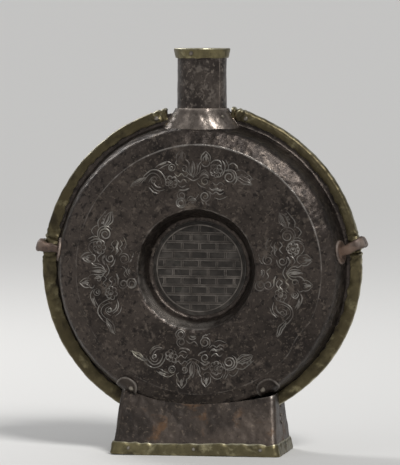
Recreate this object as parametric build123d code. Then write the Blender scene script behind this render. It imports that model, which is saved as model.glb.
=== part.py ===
from build123d import *
from functools import cache
from math import acos, atan2, cos, degrees, hypot, radians, sin, sqrt
import os

# Iron pilgrim flask with brass edging, standing on a hollow foot.
# Millimetres. X is to the right, Y to the back, Z up. The origin is the middle of the foot's underside.
# The body is turned about an axis along Y, so its sizes are given as a radius and a depth.
# A depth is measured from the middle plane, where the two shells meet, out to one face.

# Body
rim_radius = 133.0
rim_ground_gap = 20.0
shell_sheet = 1.4
face_depth = 31.0
face_edge_bend = 6.0
slope_run = 12.5
slope_fall = 6.0
shoulder_bend = 7.0
wall_run = 6.0
wall_foot_bend = 2.0
flange_width = 8.0
flange_inset = 4.0
seam_thickness = 1.6
seam_width = 5.5

# Round well in the middle of each face
well_edge_radius = 49.5
well_edge_bend = 2.6
well_wall_run = 7.5
well_floor_bend = 3.0
well_depth = 20.0
roundel_rim_gap = 3.0
roundel_thickness = 1.0

# Lattice raised on the roundel
lattice_rim_gap = 2.4
lattice_ring_width = 1.8
lattice_bar_width = 2.5
lattice_row_pitch = 7.2
lattice_tie_pitch = 14.6
lattice_relief = 0.6

# Neck and its brass lip
neck_rise = 48.0
neck_reach = 25.0
neck_radius = 20.8
neck_wall = 1.4
lip_flare = 2.1
lip_bottom_overhang = 1.3
lip_height = 8.2
lip_cap_thickness = 1.0
lip_edge_round = 0.8
lip_rivet_angle = -104.0
lip_rivet_drop = 4.2
lip_rivet_head_radius = 1.6
lip_rivet_head_height = 0.7
lip_rivet_shank_radius = 0.8

# Collar that closes the joint between the neck and the body
collar_sheet = 1.2
collar_height = 17.0
collar_bottom_drop = 19.0
collar_flare_width = 11.9
collar_flare_depth = 3.9
collar_rivet_drop = 6.6
collar_rivet_angle = 40.0
collar_rivet_head_radius = 1.8
collar_rivet_head_height = 0.8
collar_rivet_shank_radius = 0.9

# Strap lugs at the sides
lug_rise = 14.0
lug_standing = 5.6
lug_thickness = 5.0
lug_height = 9.0
lug_half_span = 13.5
lug_bend = 7.5
lug_edge_round = 1.6
left_lug_tilt = 9.0
right_lug_tilt = 25.0
lug_tenon_radius = 2.4
lug_tail_radius = 4.0
lug_tail_thickness = 1.8
washer_radius = 9.6
washer_thickness = 1.2

# Foot, which is higher at its left-hand corners than at its right-hand ones
foot_sheet = 1.4
foot_base_half_width = 70.0
foot_base_half_depth = 38.8
foot_flare_height = 10.0
foot_flare_width = 2.1
foot_flare_depth = 1.4
foot_top_height = 55.5
foot_taper_width = 4.3
foot_taper_depth = 15.0
foot_right_drop = 6.5
foot_saddle_drop = 12.5
foot_corner_radius = 4.0
foot_lap_half_width = 5.0
foot_lap_bottom_height = 9.5
foot_seam_rivet_heights = (31.0, 25.2)
foot_seam_rivet_head_radius = 1.6
foot_seam_rivet_head_height = 0.7
foot_seam_rivet_shank_radius = 0.8

# Ears of the foot plates, bent up against the body
ear_thickness = 1.2
ear_inset = 3.6
ear_width = 20.0
ear_height = 17.0
ear_drop = 11.5
ear_corner_radius = 7.5
ear_rivet_offset = 7.0
ear_rivet_rise = 9.2
ear_rivet_head_radius = 2.2
ear_rivet_head_height = 0.9
ear_rivet_shank_radius = 1.1

# Brass edging over the body's rim
edging_sheet = 1.4
edging_width = 10.5
edging_nose_bend = 3.4
edging_neck_gap = 5.7
edging_foot_reach = 13.8
edging_joint_gap = 0.8
edging_rivet_inset = 5.6
edging_top_rivet_setback = 11.3
edging_bottom_rivet_setback = 7.7
edging_rivet_head_radius = 2.0
edging_rivet_head_height = 0.9
edging_rivet_shank_radius = 1.1

# Brass binding round the foot's lower edge
binding_sheet = 1.2
binding_height = 10.0
binding_lip_height = 2.0
binding_rivet_height = 5.4
binding_rivet_spacing = 55.0
binding_rivet_head_radius = 1.4
binding_rivet_head_height = 0.7
binding_rivet_shank_radius = 0.7

# Clearance in every riveted or seated fit, and how far a cutting shape runs past what it cuts
fit_gap = 0.1
overrun = 3.0

body_centre_height = rim_ground_gap + rim_radius
rim_top_height = body_centre_height + rim_radius
flange_depth = seam_thickness / 2 + shell_sheet
edging_depth = flange_depth + edging_sheet
flange_radius = rim_radius - flange_inset
seam_inner_radius = flange_radius - seam_width
wall_foot_radius = flange_radius - flange_width
shoulder_radius = wall_foot_radius - wall_run
shoulder_depth = face_depth - slope_fall
face_radius = shoulder_radius - slope_run
well_floor_radius = well_edge_radius - well_wall_run
well_floor_depth = face_depth - well_depth
roundel_radius = well_floor_radius - roundel_rim_gap
lattice_radius = roundel_radius - lattice_rim_gap
flask_height = rim_top_height + neck_rise
neck_bottom_height = rim_top_height - neck_reach
neck_top_height = flask_height - lip_cap_thickness
neck_bore_radius = neck_radius - neck_wall
lip_bottom_height = flask_height - lip_height
lip_bottom_radius = neck_radius + lip_bottom_overhang
lip_top_radius = lip_bottom_radius + lip_flare
collar_bottom_height = rim_top_height - collar_bottom_drop
collar_top_height = collar_bottom_height + collar_height
collar_top_radius = neck_radius + fit_gap + collar_sheet
collar_bottom_half_width = collar_top_radius + collar_flare_width
collar_bottom_half_depth = collar_top_radius + collar_flare_depth
lug_reach = rim_radius + lug_standing
foot_flare_half_width = foot_base_half_width - foot_flare_width
foot_flare_half_depth = foot_base_half_depth - foot_flare_depth
foot_top_half_width = foot_flare_half_width - foot_taper_width
foot_top_half_depth = foot_flare_half_depth - foot_taper_depth
foot_right_height = foot_top_height - foot_right_drop
foot_saddle_height = foot_top_height - foot_saddle_drop
ear_centre = foot_top_half_width - ear_inset
ear_bottom_height = foot_top_height - ear_drop
ear_rivet_place = ear_centre - ear_rivet_offset
ear_rivet_height = ear_bottom_height + ear_rivet_rise
edging_inner_radius = rim_radius - edging_width
edging_top_angle = degrees(acos((neck_radius + edging_neck_gap) / rim_radius))
edging_bottom_angle = -degrees(acos((foot_top_half_width - edging_foot_reach) / rim_radius))
edging_rivet_radius = rim_radius - edging_rivet_inset
edging_top_rivet_angle = edging_top_angle - degrees(edging_top_rivet_setback / edging_rivet_radius)
edging_bottom_rivet_angle = edging_bottom_angle + degrees(edging_bottom_rivet_setback / edging_rivet_radius)
body_centre = Vector(0, 0, body_centre_height)
body_axis = Axis(body_centre, (0, -1, 0))


def mitred(points, distance):
    """Moves an open outline to its left by a distance, with mitred corners."""
    places = [Vector(*point) for point in points]
    headings = [(after - before).normalized() for before, after in zip(places, places[1:])]
    normals = [Vector(-heading.Y, heading.X) for heading in headings]
    moved = [places[0] + normals[0] * distance]
    for place, before, after in zip(places[1:], normals, normals[1:]):
        moved.append(place + (before + after) * (distance / (1 + before.dot(after))))
    moved.append(places[-1] + normals[-1] * distance)
    return [(place.X, place.Y) for place in moved]


def corner_turns(points):
    """Gives 1 for each corner of an open outline that turns left, and -1 for each that turns right."""
    turns = []
    for before, place, after in zip(points, points[1:], points[2:]):
        first = Vector(*place) - Vector(*before)
        second = Vector(*after) - Vector(*place)
        turns.append(1 if first.cross(second).Z > 0 else -1)
    return turns


def sheet_section(points, bends, thickness):
    """The section of a bent sheet: the points run along its skin, with the sheet to their left."""
    under = mitred(points, thickness)
    under_bends = [max(bend - turn * thickness, 0) for bend, turn in zip(bends, corner_turns(points))]
    radii = [0, *bends, 0, 0, *reversed(under_bends), 0]
    return make_face(FilletPolyline(*points, *reversed(under), radius=radii, close=True))


def about_body(section, start=0.0, turn=360.0):
    """Turns a section about the body's axis. It is drawn with X as the radius and Y as minus the depth."""
    placed = Pos(0, 0, body_centre_height) * section
    return revolve(placed.rotate(body_axis, start), axis=body_axis, revolution_arc=turn)


def to_back(front):
    return mirror(front, about=Plane.XZ)


def to_left(right):
    return mirror(right, about=Plane.YZ)


def one_solid(shape):
    """The main solid of a cut shape, without slivers."""
    return max(shape.solids(), key=lambda solid: solid.volume)


# Outline of a shell's outer skin, from the middle of the well out to the flange's edge
shell_outline = [
    (0, -well_floor_depth),
    (well_floor_radius, -well_floor_depth),
    (well_edge_radius, -face_depth),
    (face_radius, -face_depth),
    (shoulder_radius, -shoulder_depth),
    (wall_foot_radius, -flange_depth),
    (flange_radius, -flange_depth),
]
shell_bends = [well_floor_bend, well_edge_bend, face_edge_bend, shoulder_bend, wall_foot_bend]


@cache
def shell_space(grow):
    """What both shells enclose, out to a distance beyond their outer skin, or inside it if negative."""
    skin = mitred(shell_outline, -grow)
    turns = corner_turns(shell_outline)
    bends = [bend + turn * grow for bend, turn in zip(shell_bends, turns)]
    outline = [*skin, (skin[-1][0], 0), (0, 0)]
    half = about_body(make_face(FilletPolyline(*outline, radius=[0, *bends, 0, 0, 0], close=True)))
    return half + to_back(half)


@cache
def rim_space(grow):
    """The ring that the brass edging fills, open at the neck, out to a distance beyond it."""
    inner = edging_inner_radius - grow
    outer = rim_radius + grow
    depth = edging_depth + grow
    section = make_face(Polyline((inner, -depth), (outer, -depth), (outer, depth), (inner, depth), close=True))
    end_angle = edging_top_angle + degrees(grow / rim_radius)
    return about_body(section, 180 - end_angle, 180 + 2 * end_angle)


@cache
def body_space(grow):
    return shell_space(grow) + rim_space(grow)


def place_on_body(angle, radius, depth):
    """A point at an angle above the right-hand side, at a radius and at a depth to the front."""
    around = radians(angle)
    return Vector(radius * cos(around), -depth, body_centre_height + radius * sin(around))


def wall_radius_at(depth):
    """The radius of the body's outer wall at a depth between the shoulder and the flange."""
    share = (depth - flange_depth) / (shoulder_depth - flange_depth)
    return wall_foot_radius + (shoulder_radius - wall_foot_radius) * share


def facing(origin, direction):
    return Location(Plane(origin=origin, z_dir=direction))


def rod(start, direction, radius, length):
    """A round rod from a point along a direction."""
    middle = start + direction.normalized() * (length / 2)
    return facing(middle, direction) * Cylinder(radius, length)


def rivet(pose, size, sheets):
    """A rivet with a domed head at each end, dressed down to the sheets that it clenches.

    The pose is the seat of its outer head, the way that head faces, and the grip between the heads.
    """
    seat, outward, grip = pose
    head_radius, head_height, shank_radius = size
    crown = (head_radius**2 + head_height**2) / (2 * head_height)
    dome = Pos(0, 0, head_height - crown) * Sphere(crown)
    head = dome & Pos(0, 0, head_height / 2) * Cylinder(head_radius, head_height)
    tail = Pos(0, 0, -grip) * mirror(head, about=Plane.XY)
    heads = facing(seat, outward) * (head + tail)
    shank = rod(seat + outward * (head_height / 2), outward * -1, shank_radius, grip + head_height)
    return one_solid((heads - sheets) + shank)


def rivet_hole(pose, size):
    """The hole that a rivet's shank passes through, run past both of its ends."""
    seat, outward, grip = pose
    return rod(seat + outward * overrun, outward * -1, size[-1] + fit_gap, grip + 2 * overrun)


def rivets(poses, size, sheets):
    return [rivet(pose, size, sheets) for pose in poses]


def rivet_holes(poses, size):
    return [rivet_hole(pose, size) for pose in poses]


# Edging rivets hold each strip's end to the flanges and the seam between them
edging_rivet_size = (edging_rivet_head_radius, edging_rivet_head_height, edging_rivet_shank_radius)
edging_rivet_angles = [
    edging_top_rivet_angle,
    180 - edging_top_rivet_angle,
    edging_bottom_rivet_angle,
    180 - edging_bottom_rivet_angle,
]
edging_rivet_poses = [
    (place_on_body(angle, edging_rivet_radius, edging_depth), Vector(0, -1, 0), 2 * edging_depth)
    for angle in edging_rivet_angles
]

# Ear rivets hold the foot's ears to the shells
ear_rivet_size = (ear_rivet_head_radius, ear_rivet_head_height, ear_rivet_shank_radius)
ear_rivet_radius = hypot(ear_rivet_place, body_centre_height - ear_rivet_height)
ear_rivet_angle = degrees(atan2(ear_rivet_height - body_centre_height, ear_rivet_place))
slope_length = hypot(slope_run, slope_fall)
ear_skin_depth = face_depth - slope_fall * (ear_rivet_radius - face_radius) / slope_run


def ear_rivet_pose(side):
    """The pose of a front ear's rivet, square to the slope. Side is 1 for the right and -1 for the left."""
    around = radians(ear_rivet_angle)
    skin = place_on_body(ear_rivet_angle, ear_rivet_radius, ear_skin_depth)
    radial = Vector(cos(around), 0, sin(around))
    outward = (radial * slope_fall + Vector(0, -slope_run, 0)) / slope_length
    seat = skin + outward * ear_thickness
    grip = ear_thickness + shell_sheet
    return Vector(side * seat.X, seat.Y, seat.Z), Vector(side * outward.X, outward.Y, outward.Z), grip


front_ear_rivet_poses = [ear_rivet_pose(side) for side in (-1, 1)]


def front_ear_rivets():
    sheets = shell_space(ear_thickness) - shell_space(-shell_sheet)
    return rivets(front_ear_rivet_poses, ear_rivet_size, sheets)


# Strap lugs: a bent bar at each side, with a tenon at each end that passes through a washer and the wall
lug_wall_radius = wall_radius_at(lug_half_span)
lug_root_x = sqrt(lug_wall_radius**2 - lug_rise**2)
lug_root_height = body_centre_height + lug_rise


def lug_way(tilt):
    """The direction of a right-hand lug's arms, from the body outwards."""
    return Vector(cos(radians(tilt)), 0, sin(radians(tilt)))


def lug_roots():
    """Where the middle lines of a right-hand lug's two arms meet the wall's skin."""
    return [Vector(lug_root_x, depth, lug_root_height) for depth in (-lug_half_span, lug_half_span)]


def lug_tenon_holes(tilt):
    way = lug_way(tilt)
    length = 2 * overrun + lug_thickness
    return [
        rod(root - way * (length / 2), way, lug_tenon_radius + fit_gap, length) for root in lug_roots()
    ]


def right_lug(tilt):
    """A bent bar with a rounded section, cut to its washers, with its tenons clenched inside the shells."""
    way = lug_way(tilt)
    corner = (lug_thickness * cos(radians(tilt)) + lug_height * sin(radians(tilt))) / 2
    bar_reach = (lug_reach - corner - lug_root_x) / cos(radians(tilt)) + lug_thickness / 2
    half_width = lug_half_span + lug_thickness / 2
    outline = [(-lug_thickness, -half_width), (bar_reach, -half_width)]
    outline += [(bar_reach, half_width), (-lug_thickness, half_width)]
    flat = sheet_section(outline, [lug_bend, lug_bend], lug_thickness)
    bar = Pos(0, 0, -lug_height / 2) * extrude(flat, lug_height)
    rims = bar.edges().group_by(Axis.Z)[0] + bar.edges().group_by(Axis.Z)[-1]
    bar = fillet(rims, lug_edge_round)
    bar = Pos(lug_root_x, 0, lug_root_height) * Rot(0, -tilt, 0) * bar
    lug = one_solid(bar - shell_space(washer_thickness + fit_gap))
    inside = shell_space(-shell_sheet)
    tail_length = lug_tail_thickness + 2 * shell_sheet
    for root in lug_roots():
        start = root - way * tail_length
        tenon = rod(start, way, lug_tenon_radius, tail_length + lug_thickness)
        tail = rod(start, way, lug_tail_radius, tail_length) & inside
        lug = lug + tenon + one_solid(tail)
    return one_solid(lug)


def right_lug_washers(tilt):
    """Two dished washers that lie on the wall under the ends of a lug."""
    layer = shell_space(washer_thickness) - shell_space(0)
    wall_fall = shoulder_depth - flange_depth
    around = atan2(lug_rise, lug_root_x)
    washers = []
    for side, root in zip((-1, 1), lug_roots()):
        outward = Vector(wall_fall * cos(around), side * wall_run, wall_fall * sin(around)).normalized()
        disc = rod(root - outward * overrun, outward, washer_radius, 2 * overrun)
        washers.append(one_solid((layer & disc) - lug_tenon_holes(tilt)))
    return washers


# Neck
def neck_hole(grow):
    """The round way that the neck takes through the body's top."""
    height = flask_height - neck_bottom_height
    return Pos(0, 0, neck_bottom_height + height / 2) * Cylinder(neck_radius + grow, height)


collar_rivet_size = (collar_rivet_head_radius, collar_rivet_head_height, collar_rivet_shank_radius)
collar_rivet_height = collar_top_height - collar_rivet_drop
collar_rivet_fall_share = collar_rivet_drop / collar_height


def collar_rivet_pose(angle):
    """The pose of a collar rivet, square to the neck, at an angle round the neck from the right."""
    half_width = collar_top_radius + collar_flare_width * collar_rivet_fall_share
    half_depth = collar_top_radius + collar_flare_depth * collar_rivet_fall_share
    outward = Vector(cos(radians(angle)), sin(radians(angle)), 0)
    reach = 1 / hypot(outward.X / half_width, outward.Y / half_depth)
    return Vector(0, 0, collar_rivet_height) + outward * reach, outward, reach - neck_bore_radius


collar_rivet_poses = [
    collar_rivet_pose(angle)
    for angle in (
        collar_rivet_angle,
        180 - collar_rivet_angle,
        180 + collar_rivet_angle,
        -collar_rivet_angle,
    )
]


def neck_rivet(pose, size, sheets):
    """A rivet with its inner end dressed flush with the neck's bore, so that a stopper can pass."""
    return one_solid(rivet(pose, size, sheets) - neck_hole(-neck_wall))


def collar_rivets():
    return [neck_rivet(pose, collar_rivet_size, collar_block(0)) for pose in collar_rivet_poses]


lip_rivet_size = (lip_rivet_head_radius, lip_rivet_head_height, lip_rivet_shank_radius)
lip_rivet_reach = lip_top_radius - lip_flare * lip_rivet_drop / lip_height
lip_rivet_way = Vector(cos(radians(lip_rivet_angle)), sin(radians(lip_rivet_angle)), 0)
lip_rivet_seat = Vector(0, 0, flask_height - lip_rivet_drop) + lip_rivet_way * lip_rivet_reach
lip_rivet_pose = (lip_rivet_seat, lip_rivet_way, lip_rivet_reach - neck_bore_radius)


def lip_block():
    """The block that the lip band's flared skin encloses."""
    low = Pos(0, 0, lip_bottom_height) * Circle(lip_bottom_radius)
    high = Pos(0, 0, flask_height) * Circle(lip_top_radius)
    return loft([low, high], ruled=True)


def lip_rivet():
    return neck_rivet(lip_rivet_pose, lip_rivet_size, lip_block())


def neck_tube():
    height = neck_top_height - neck_bottom_height
    middle = Pos(0, 0, neck_bottom_height + height / 2)
    tube = middle * (Cylinder(neck_radius, height) - Cylinder(neck_bore_radius, height))
    holes = rivet_holes(collar_rivet_poses, collar_rivet_size)
    return tube - holes - rivet_hole(lip_rivet_pose, lip_rivet_size)


def lip_band():
    """A flared brass band round the neck's top, with a cap that covers the end of the tube."""
    seat = neck_radius + fit_gap
    outline = [
        (neck_bore_radius, neck_top_height),
        (neck_bore_radius, flask_height),
        (lip_top_radius, flask_height),
        (lip_bottom_radius, lip_bottom_height),
        (seat, lip_bottom_height),
        (seat, neck_top_height),
    ]
    section = make_face(FilletPolyline(*outline, radius=[0, 0, lip_edge_round, 0, 0, 0], close=True))
    return revolve(Rot(90, 0, 0) * section, axis=Axis.Z) - rivet_hole(lip_rivet_pose, lip_rivet_size)


def collar_block(inset):
    """The flared block that the collar's skin encloses, made smaller all round by an inset."""
    top = Pos(0, 0, collar_top_height) * Circle(collar_top_radius - inset)
    half_width = collar_bottom_half_width - inset
    half_depth = collar_bottom_half_depth - inset
    bottom = Pos(0, 0, collar_bottom_height) * Ellipse(half_width, half_depth)
    return loft([bottom, top], ruled=True)


def neck_collar():
    """A flared skirt, cut to the body's shoulder and open at the sides for the rim."""
    skirt = collar_block(0) - collar_block(collar_sheet)
    holes = rivet_holes(collar_rivet_poses, collar_rivet_size)
    return one_solid(skirt - body_space(fit_gap) - holes)


# Body pieces
def front_shell():
    """A dished iron sheet with a flat face, a round well in its middle and a narrow flange at its edge."""
    shell = about_body(sheet_section(shell_outline, shell_bends, shell_sheet))
    shell = shell - neck_hole(fit_gap) - rivet_holes(edging_rivet_poses, edging_rivet_size)
    shell = shell - rivet_holes(front_ear_rivet_poses, ear_rivet_size)
    shell = shell - lug_tenon_holes(right_lug_tilt)
    shell = shell - [to_left(hole) for hole in lug_tenon_holes(left_lug_tilt)]
    return one_solid(shell)


def seam_braze():
    """The layer of braze between the two flanges."""
    half = seam_thickness / 2
    outline = [(seam_inner_radius, -half), (flange_radius, -half), (flange_radius, half)]
    section = make_face(Polyline(*outline, (seam_inner_radius, half), close=True))
    holes = rivet_holes(edging_rivet_poses, edging_rivet_size)
    return one_solid(about_body(section) - neck_hole(fit_gap) - holes)


def edging_strip(start, end):
    """A brass strip folded over the rim, from one angle to another above the right-hand side."""
    skin = [
        (edging_inner_radius, -edging_depth),
        (rim_radius, -edging_depth),
        (rim_radius, edging_depth),
        (edging_inner_radius, edging_depth),
    ]
    section = sheet_section(skin, [edging_nose_bend, edging_nose_bend], edging_sheet)
    holes = rivet_holes(edging_rivet_poses, edging_rivet_size)
    return one_solid(about_body(section, start, end - start) - holes)


def edging_strips():
    """The four strips, which meet at the lugs and end beside the collar and inside the foot."""
    joint_angle = degrees(atan2(lug_rise + lug_height / 2, rim_radius))
    half_gap = degrees(edging_joint_gap / 2 / rim_radius)
    upper_right = edging_strip(joint_angle + half_gap, edging_top_angle)
    lower_right = edging_strip(edging_bottom_angle, joint_angle - half_gap)
    return {
        "rim_strip_upper_right": upper_right,
        "rim_strip_upper_left": to_left(upper_right),
        "rim_strip_lower_right": lower_right,
        "rim_strip_lower_left": to_left(lower_right),
    }


def front_roundel():
    disc = Pos(0, -well_floor_depth - roundel_thickness / 2, body_centre_height)
    return disc * Rot(90, 0, 0) * Cylinder(roundel_radius, roundel_thickness)


def lattice_bars():
    """Rows of bars with ties between them, set half a pitch over from one row to the next."""
    row_count = int(lattice_radius / lattice_row_pitch)
    tie_count = int(lattice_radius / lattice_tie_pitch) + 1
    bars = []
    for row in range(-row_count, row_count + 1):
        height = row * lattice_row_pitch
        bars.append(Pos(0, height) * Rectangle(2 * lattice_radius, lattice_bar_width))
    for row in range(-row_count - 1, row_count + 1):
        height = (row + 1 / 2) * lattice_row_pitch
        shift = (row % 2) / 2
        for tie in range(-tie_count, tie_count + 1):
            across = (tie + shift) * lattice_tie_pitch
            bars.append(Pos(across, height) * Rectangle(lattice_bar_width, lattice_row_pitch))
    return bars


def front_lattice():
    """A plain lattice in a ring, raised on the roundel."""
    bars = Sketch() + lattice_bars()
    ring = Circle(lattice_radius) - Circle(lattice_radius - lattice_ring_width)
    flat = (bars & Circle(lattice_radius - lattice_ring_width / 2)) + ring
    raised = extrude(flat, lattice_relief)
    seat = Vector(0, -well_floor_depth - roundel_thickness, body_centre_height)
    return one_solid(Pos(*seat) * Rot(90, 0, 0) * raised)


# Foot pieces
def foot_half_size(height):
    """Half the width and half the depth of the foot plates' outer skin at a height."""
    if height <= foot_flare_height:
        share = height / foot_flare_height
        low = (foot_base_half_width, foot_base_half_depth)
        high = (foot_flare_half_width, foot_flare_half_depth)
    else:
        share = (height - foot_flare_height) / (foot_top_height - foot_flare_height)
        low = (foot_flare_half_width, foot_flare_half_depth)
        high = (foot_top_half_width, foot_top_half_depth)
    return [start + (end - start) * share for start, end in zip(low, high)]


def foot_block(grow, bottom, top):
    """The tapered block inside the foot's skin between two heights, grown all round or shrunk."""
    heights = [bottom, top]
    if bottom < foot_flare_height < top:
        heights.insert(1, foot_flare_height)
    sections = []
    for height in heights:
        half_width, half_depth = foot_half_size(height)
        corner = foot_corner_radius + grow
        outline = RectangleRounded(2 * (half_width + grow), 2 * (half_depth + grow), corner)
        sections.append(Pos(0, 0, height) * outline)
    return loft(sections, ruled=True)


seam_rivet_size = (
    foot_seam_rivet_head_radius,
    foot_seam_rivet_head_height,
    foot_seam_rivet_shank_radius,
)
seam_rivet_poses = [
    (Vector(side * foot_half_size(height)[0], 0, height), Vector(side, 0, 0), 2 * foot_sheet)
    for height in foot_seam_rivet_heights
    for side in (-1, 1)
]


def foot_seam_rivets():
    bottom = foot_flare_height
    sheets = foot_block(0, bottom, foot_top_height) - foot_block(-2 * foot_sheet, bottom, foot_top_height)
    return rivets(seam_rivet_poses, seam_rivet_size, sheets)


binding_rivet_size = (
    binding_rivet_head_radius,
    binding_rivet_head_height,
    binding_rivet_shank_radius,
)


def binding_rivet_poses():
    """Three rivets along the front, three along the back and one in each side, on the binding's skin."""
    half_width, half_depth = foot_half_size(binding_rivet_height)
    skin = fit_gap + binding_sheet
    grip = 2 * skin + foot_sheet
    poses = []
    for side in (-1, 1):
        for place in (-binding_rivet_spacing, 0, binding_rivet_spacing):
            seat = Vector(place, side * (half_depth + skin), binding_rivet_height)
            poses.append((seat, Vector(0, side, 0), grip))
        seat = Vector(side * (half_width + skin), 0, binding_rivet_height)
        poses.append((seat, Vector(side, 0, 0), grip))
    return poses


binding_inner_inset = foot_sheet + fit_gap + binding_sheet


def binding_rivets():
    skin = foot_block(fit_gap + binding_sheet, 0, binding_height)
    sheets = skin - foot_block(-binding_inner_inset, 0, binding_height)
    return rivets(binding_rivet_poses(), binding_rivet_size, sheets)


@cache
def front_ears():
    """Two tongues that lie on the body's slope above the foot's front corners."""
    layer = shell_space(ear_thickness) - shell_space(0) - rim_space(fit_gap)
    outline = RectangleRounded(ear_width, ear_height, ear_corner_radius)
    reach = face_depth + overrun
    middle_height = ear_bottom_height + ear_height / 2
    prism = Pos(ear_centre, 0, middle_height) * Rot(90, 0, 0) * extrude(outline, reach)
    clear = slab(-reach, -foot_lap_half_width - fit_gap, 0, body_centre_height)
    ear = one_solid(layer & prism & clear)
    return [ear, to_left(ear)]


def above_foot():
    """All that lies above the foot's top edge, which hangs in an arc between its corners."""
    far = foot_base_half_width + overrun
    high = foot_top_height + overrun
    corners = [(-foot_top_half_width, foot_top_height), (foot_top_half_width, foot_right_height)]
    arc = ThreePointArc(corners[0], (0, foot_saddle_height), corners[1])
    rest = Polyline(corners[1], (far, foot_right_height), (far, high), (-far, high), (-far, foot_top_height),
                    corners[0])
    reach = foot_base_half_depth + overrun
    return Pos(0, reach, 0) * Rot(90, 0, 0) * extrude(make_face(arc + rest), 2 * reach)


def foot_skirt():
    """The foot's whole outer sheet, cut to the body and along its top edge."""
    bottom = binding_sheet + fit_gap
    skirt = foot_block(0, bottom, foot_top_height) - foot_block(-foot_sheet, bottom, foot_top_height)
    skirt = skirt - above_foot() - body_space(fit_gap)
    return skirt - rivet_holes(binding_rivet_poses(), binding_rivet_size)


def slab(from_depth, to_depth, bottom, top):
    """A wide block between two places along Y and two heights, for cutting."""
    width = 2 * (foot_base_half_width + overrun)
    depth = to_depth - from_depth
    middle = Pos(0, (from_depth + to_depth) / 2, (bottom + top) / 2)
    return middle * Box(width, depth, top - bottom)


def foot_plates():
    """The front and back plates. The back plate's sides have tongues that lap inside the front plate's."""
    skirt = foot_skirt()
    far = foot_base_half_depth + overrun
    front = skirt & slab(-far, foot_lap_half_width, 0, foot_top_height)
    seam_holes = rivet_holes(seam_rivet_poses, seam_rivet_size)
    ear_holes = rivet_holes(front_ear_rivet_poses, ear_rivet_size)
    front = one_solid(front + front_ears() - seam_holes - ear_holes)
    back = skirt & slab(foot_lap_half_width + fit_gap, far, 0, foot_top_height)
    tongue_top = foot_saddle_height
    tongues = foot_block(-foot_sheet, foot_lap_bottom_height, tongue_top)
    tongues = tongues - foot_block(-2 * foot_sheet, foot_lap_bottom_height, tongue_top)
    lap = slab(-foot_lap_half_width, 2 * foot_lap_half_width, foot_lap_bottom_height, tongue_top)
    tongues = (tongues & lap) - body_space(fit_gap)
    back_ears = [to_back(ear) for ear in front_ears()]
    back = back + tongues + back_ears - seam_holes
    back = one_solid(back - [to_back(hole) for hole in ear_holes])
    return front, back


def foot_binding():
    """A brass channel that the plates' lower edge stands in."""
    channel = foot_block(fit_gap + binding_sheet, 0, binding_height)
    channel = channel - foot_block(-binding_inner_inset, 0, binding_height)
    slot = foot_block(fit_gap, binding_sheet, binding_height)
    slot = slot - foot_block(-(foot_sheet + fit_gap), binding_sheet, binding_height)
    above = foot_block(0, binding_height - binding_lip_height, binding_height)
    return one_solid(channel - slot - above - rivet_holes(binding_rivet_poses(), binding_rivet_size))


def group(shapes):
    return Compound(children=[solid for shape in shapes for solid in shape.solids()])


def write_parts(parts):
    os.makedirs("parts", exist_ok=True)
    for name, shape in parts.items():
        export_step(shape, os.path.join("parts", name + ".step"))


def make_parts():
    front = front_shell()
    roundel = front_roundel()
    lattice = front_lattice()
    ear_pins = front_ear_rivets()
    front_plate, back_plate = foot_plates()
    return {
        "front_shell": front,
        "back_shell": to_back(front),
        "seam_braze": seam_braze(),
        "front_roundel": roundel,
        "back_roundel": to_back(roundel),
        "front_lattice": lattice,
        "back_lattice": to_back(lattice),
        **edging_strips(),
        "rim_strip_rivets": group(rivets(edging_rivet_poses, edging_rivet_size, [])),
        "neck_tube": neck_tube(),
        "neck_collar": neck_collar(),
        "collar_rivets": group(collar_rivets()),
        "lip_band": lip_band(),
        "lip_rivet": lip_rivet(),
        "right_lug": right_lug(right_lug_tilt),
        "left_lug": to_left(right_lug(left_lug_tilt)),
        "right_lug_washers": group(right_lug_washers(right_lug_tilt)),
        "left_lug_washers": group([to_left(washer) for washer in right_lug_washers(left_lug_tilt)]),
        "foot_front_plate": front_plate,
        "foot_back_plate": back_plate,
        "foot_seam_rivets": group(foot_seam_rivets()),
        "foot_ear_rivets": group(ear_pins + [to_back(pin) for pin in ear_pins]),
        "foot_binding": foot_binding(),
        "foot_binding_rivets": group(binding_rivets()),
    }


write_parts(make_parts())
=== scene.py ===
# %% [markdown]
# # An iron flask with brass edging
#
# The real flask is a blacksmith's and a brazier's work: two dished iron sheets, a rolled neck, a folded
# foot, and brass strips bent over every raw edge. Nothing on it is quite straight. The CAD frame gives
# each piece its exact place. Here each piece is made again as a thin hand-worked sheet that fits that
# place, and is then given its metal.

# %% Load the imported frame
import math

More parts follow.
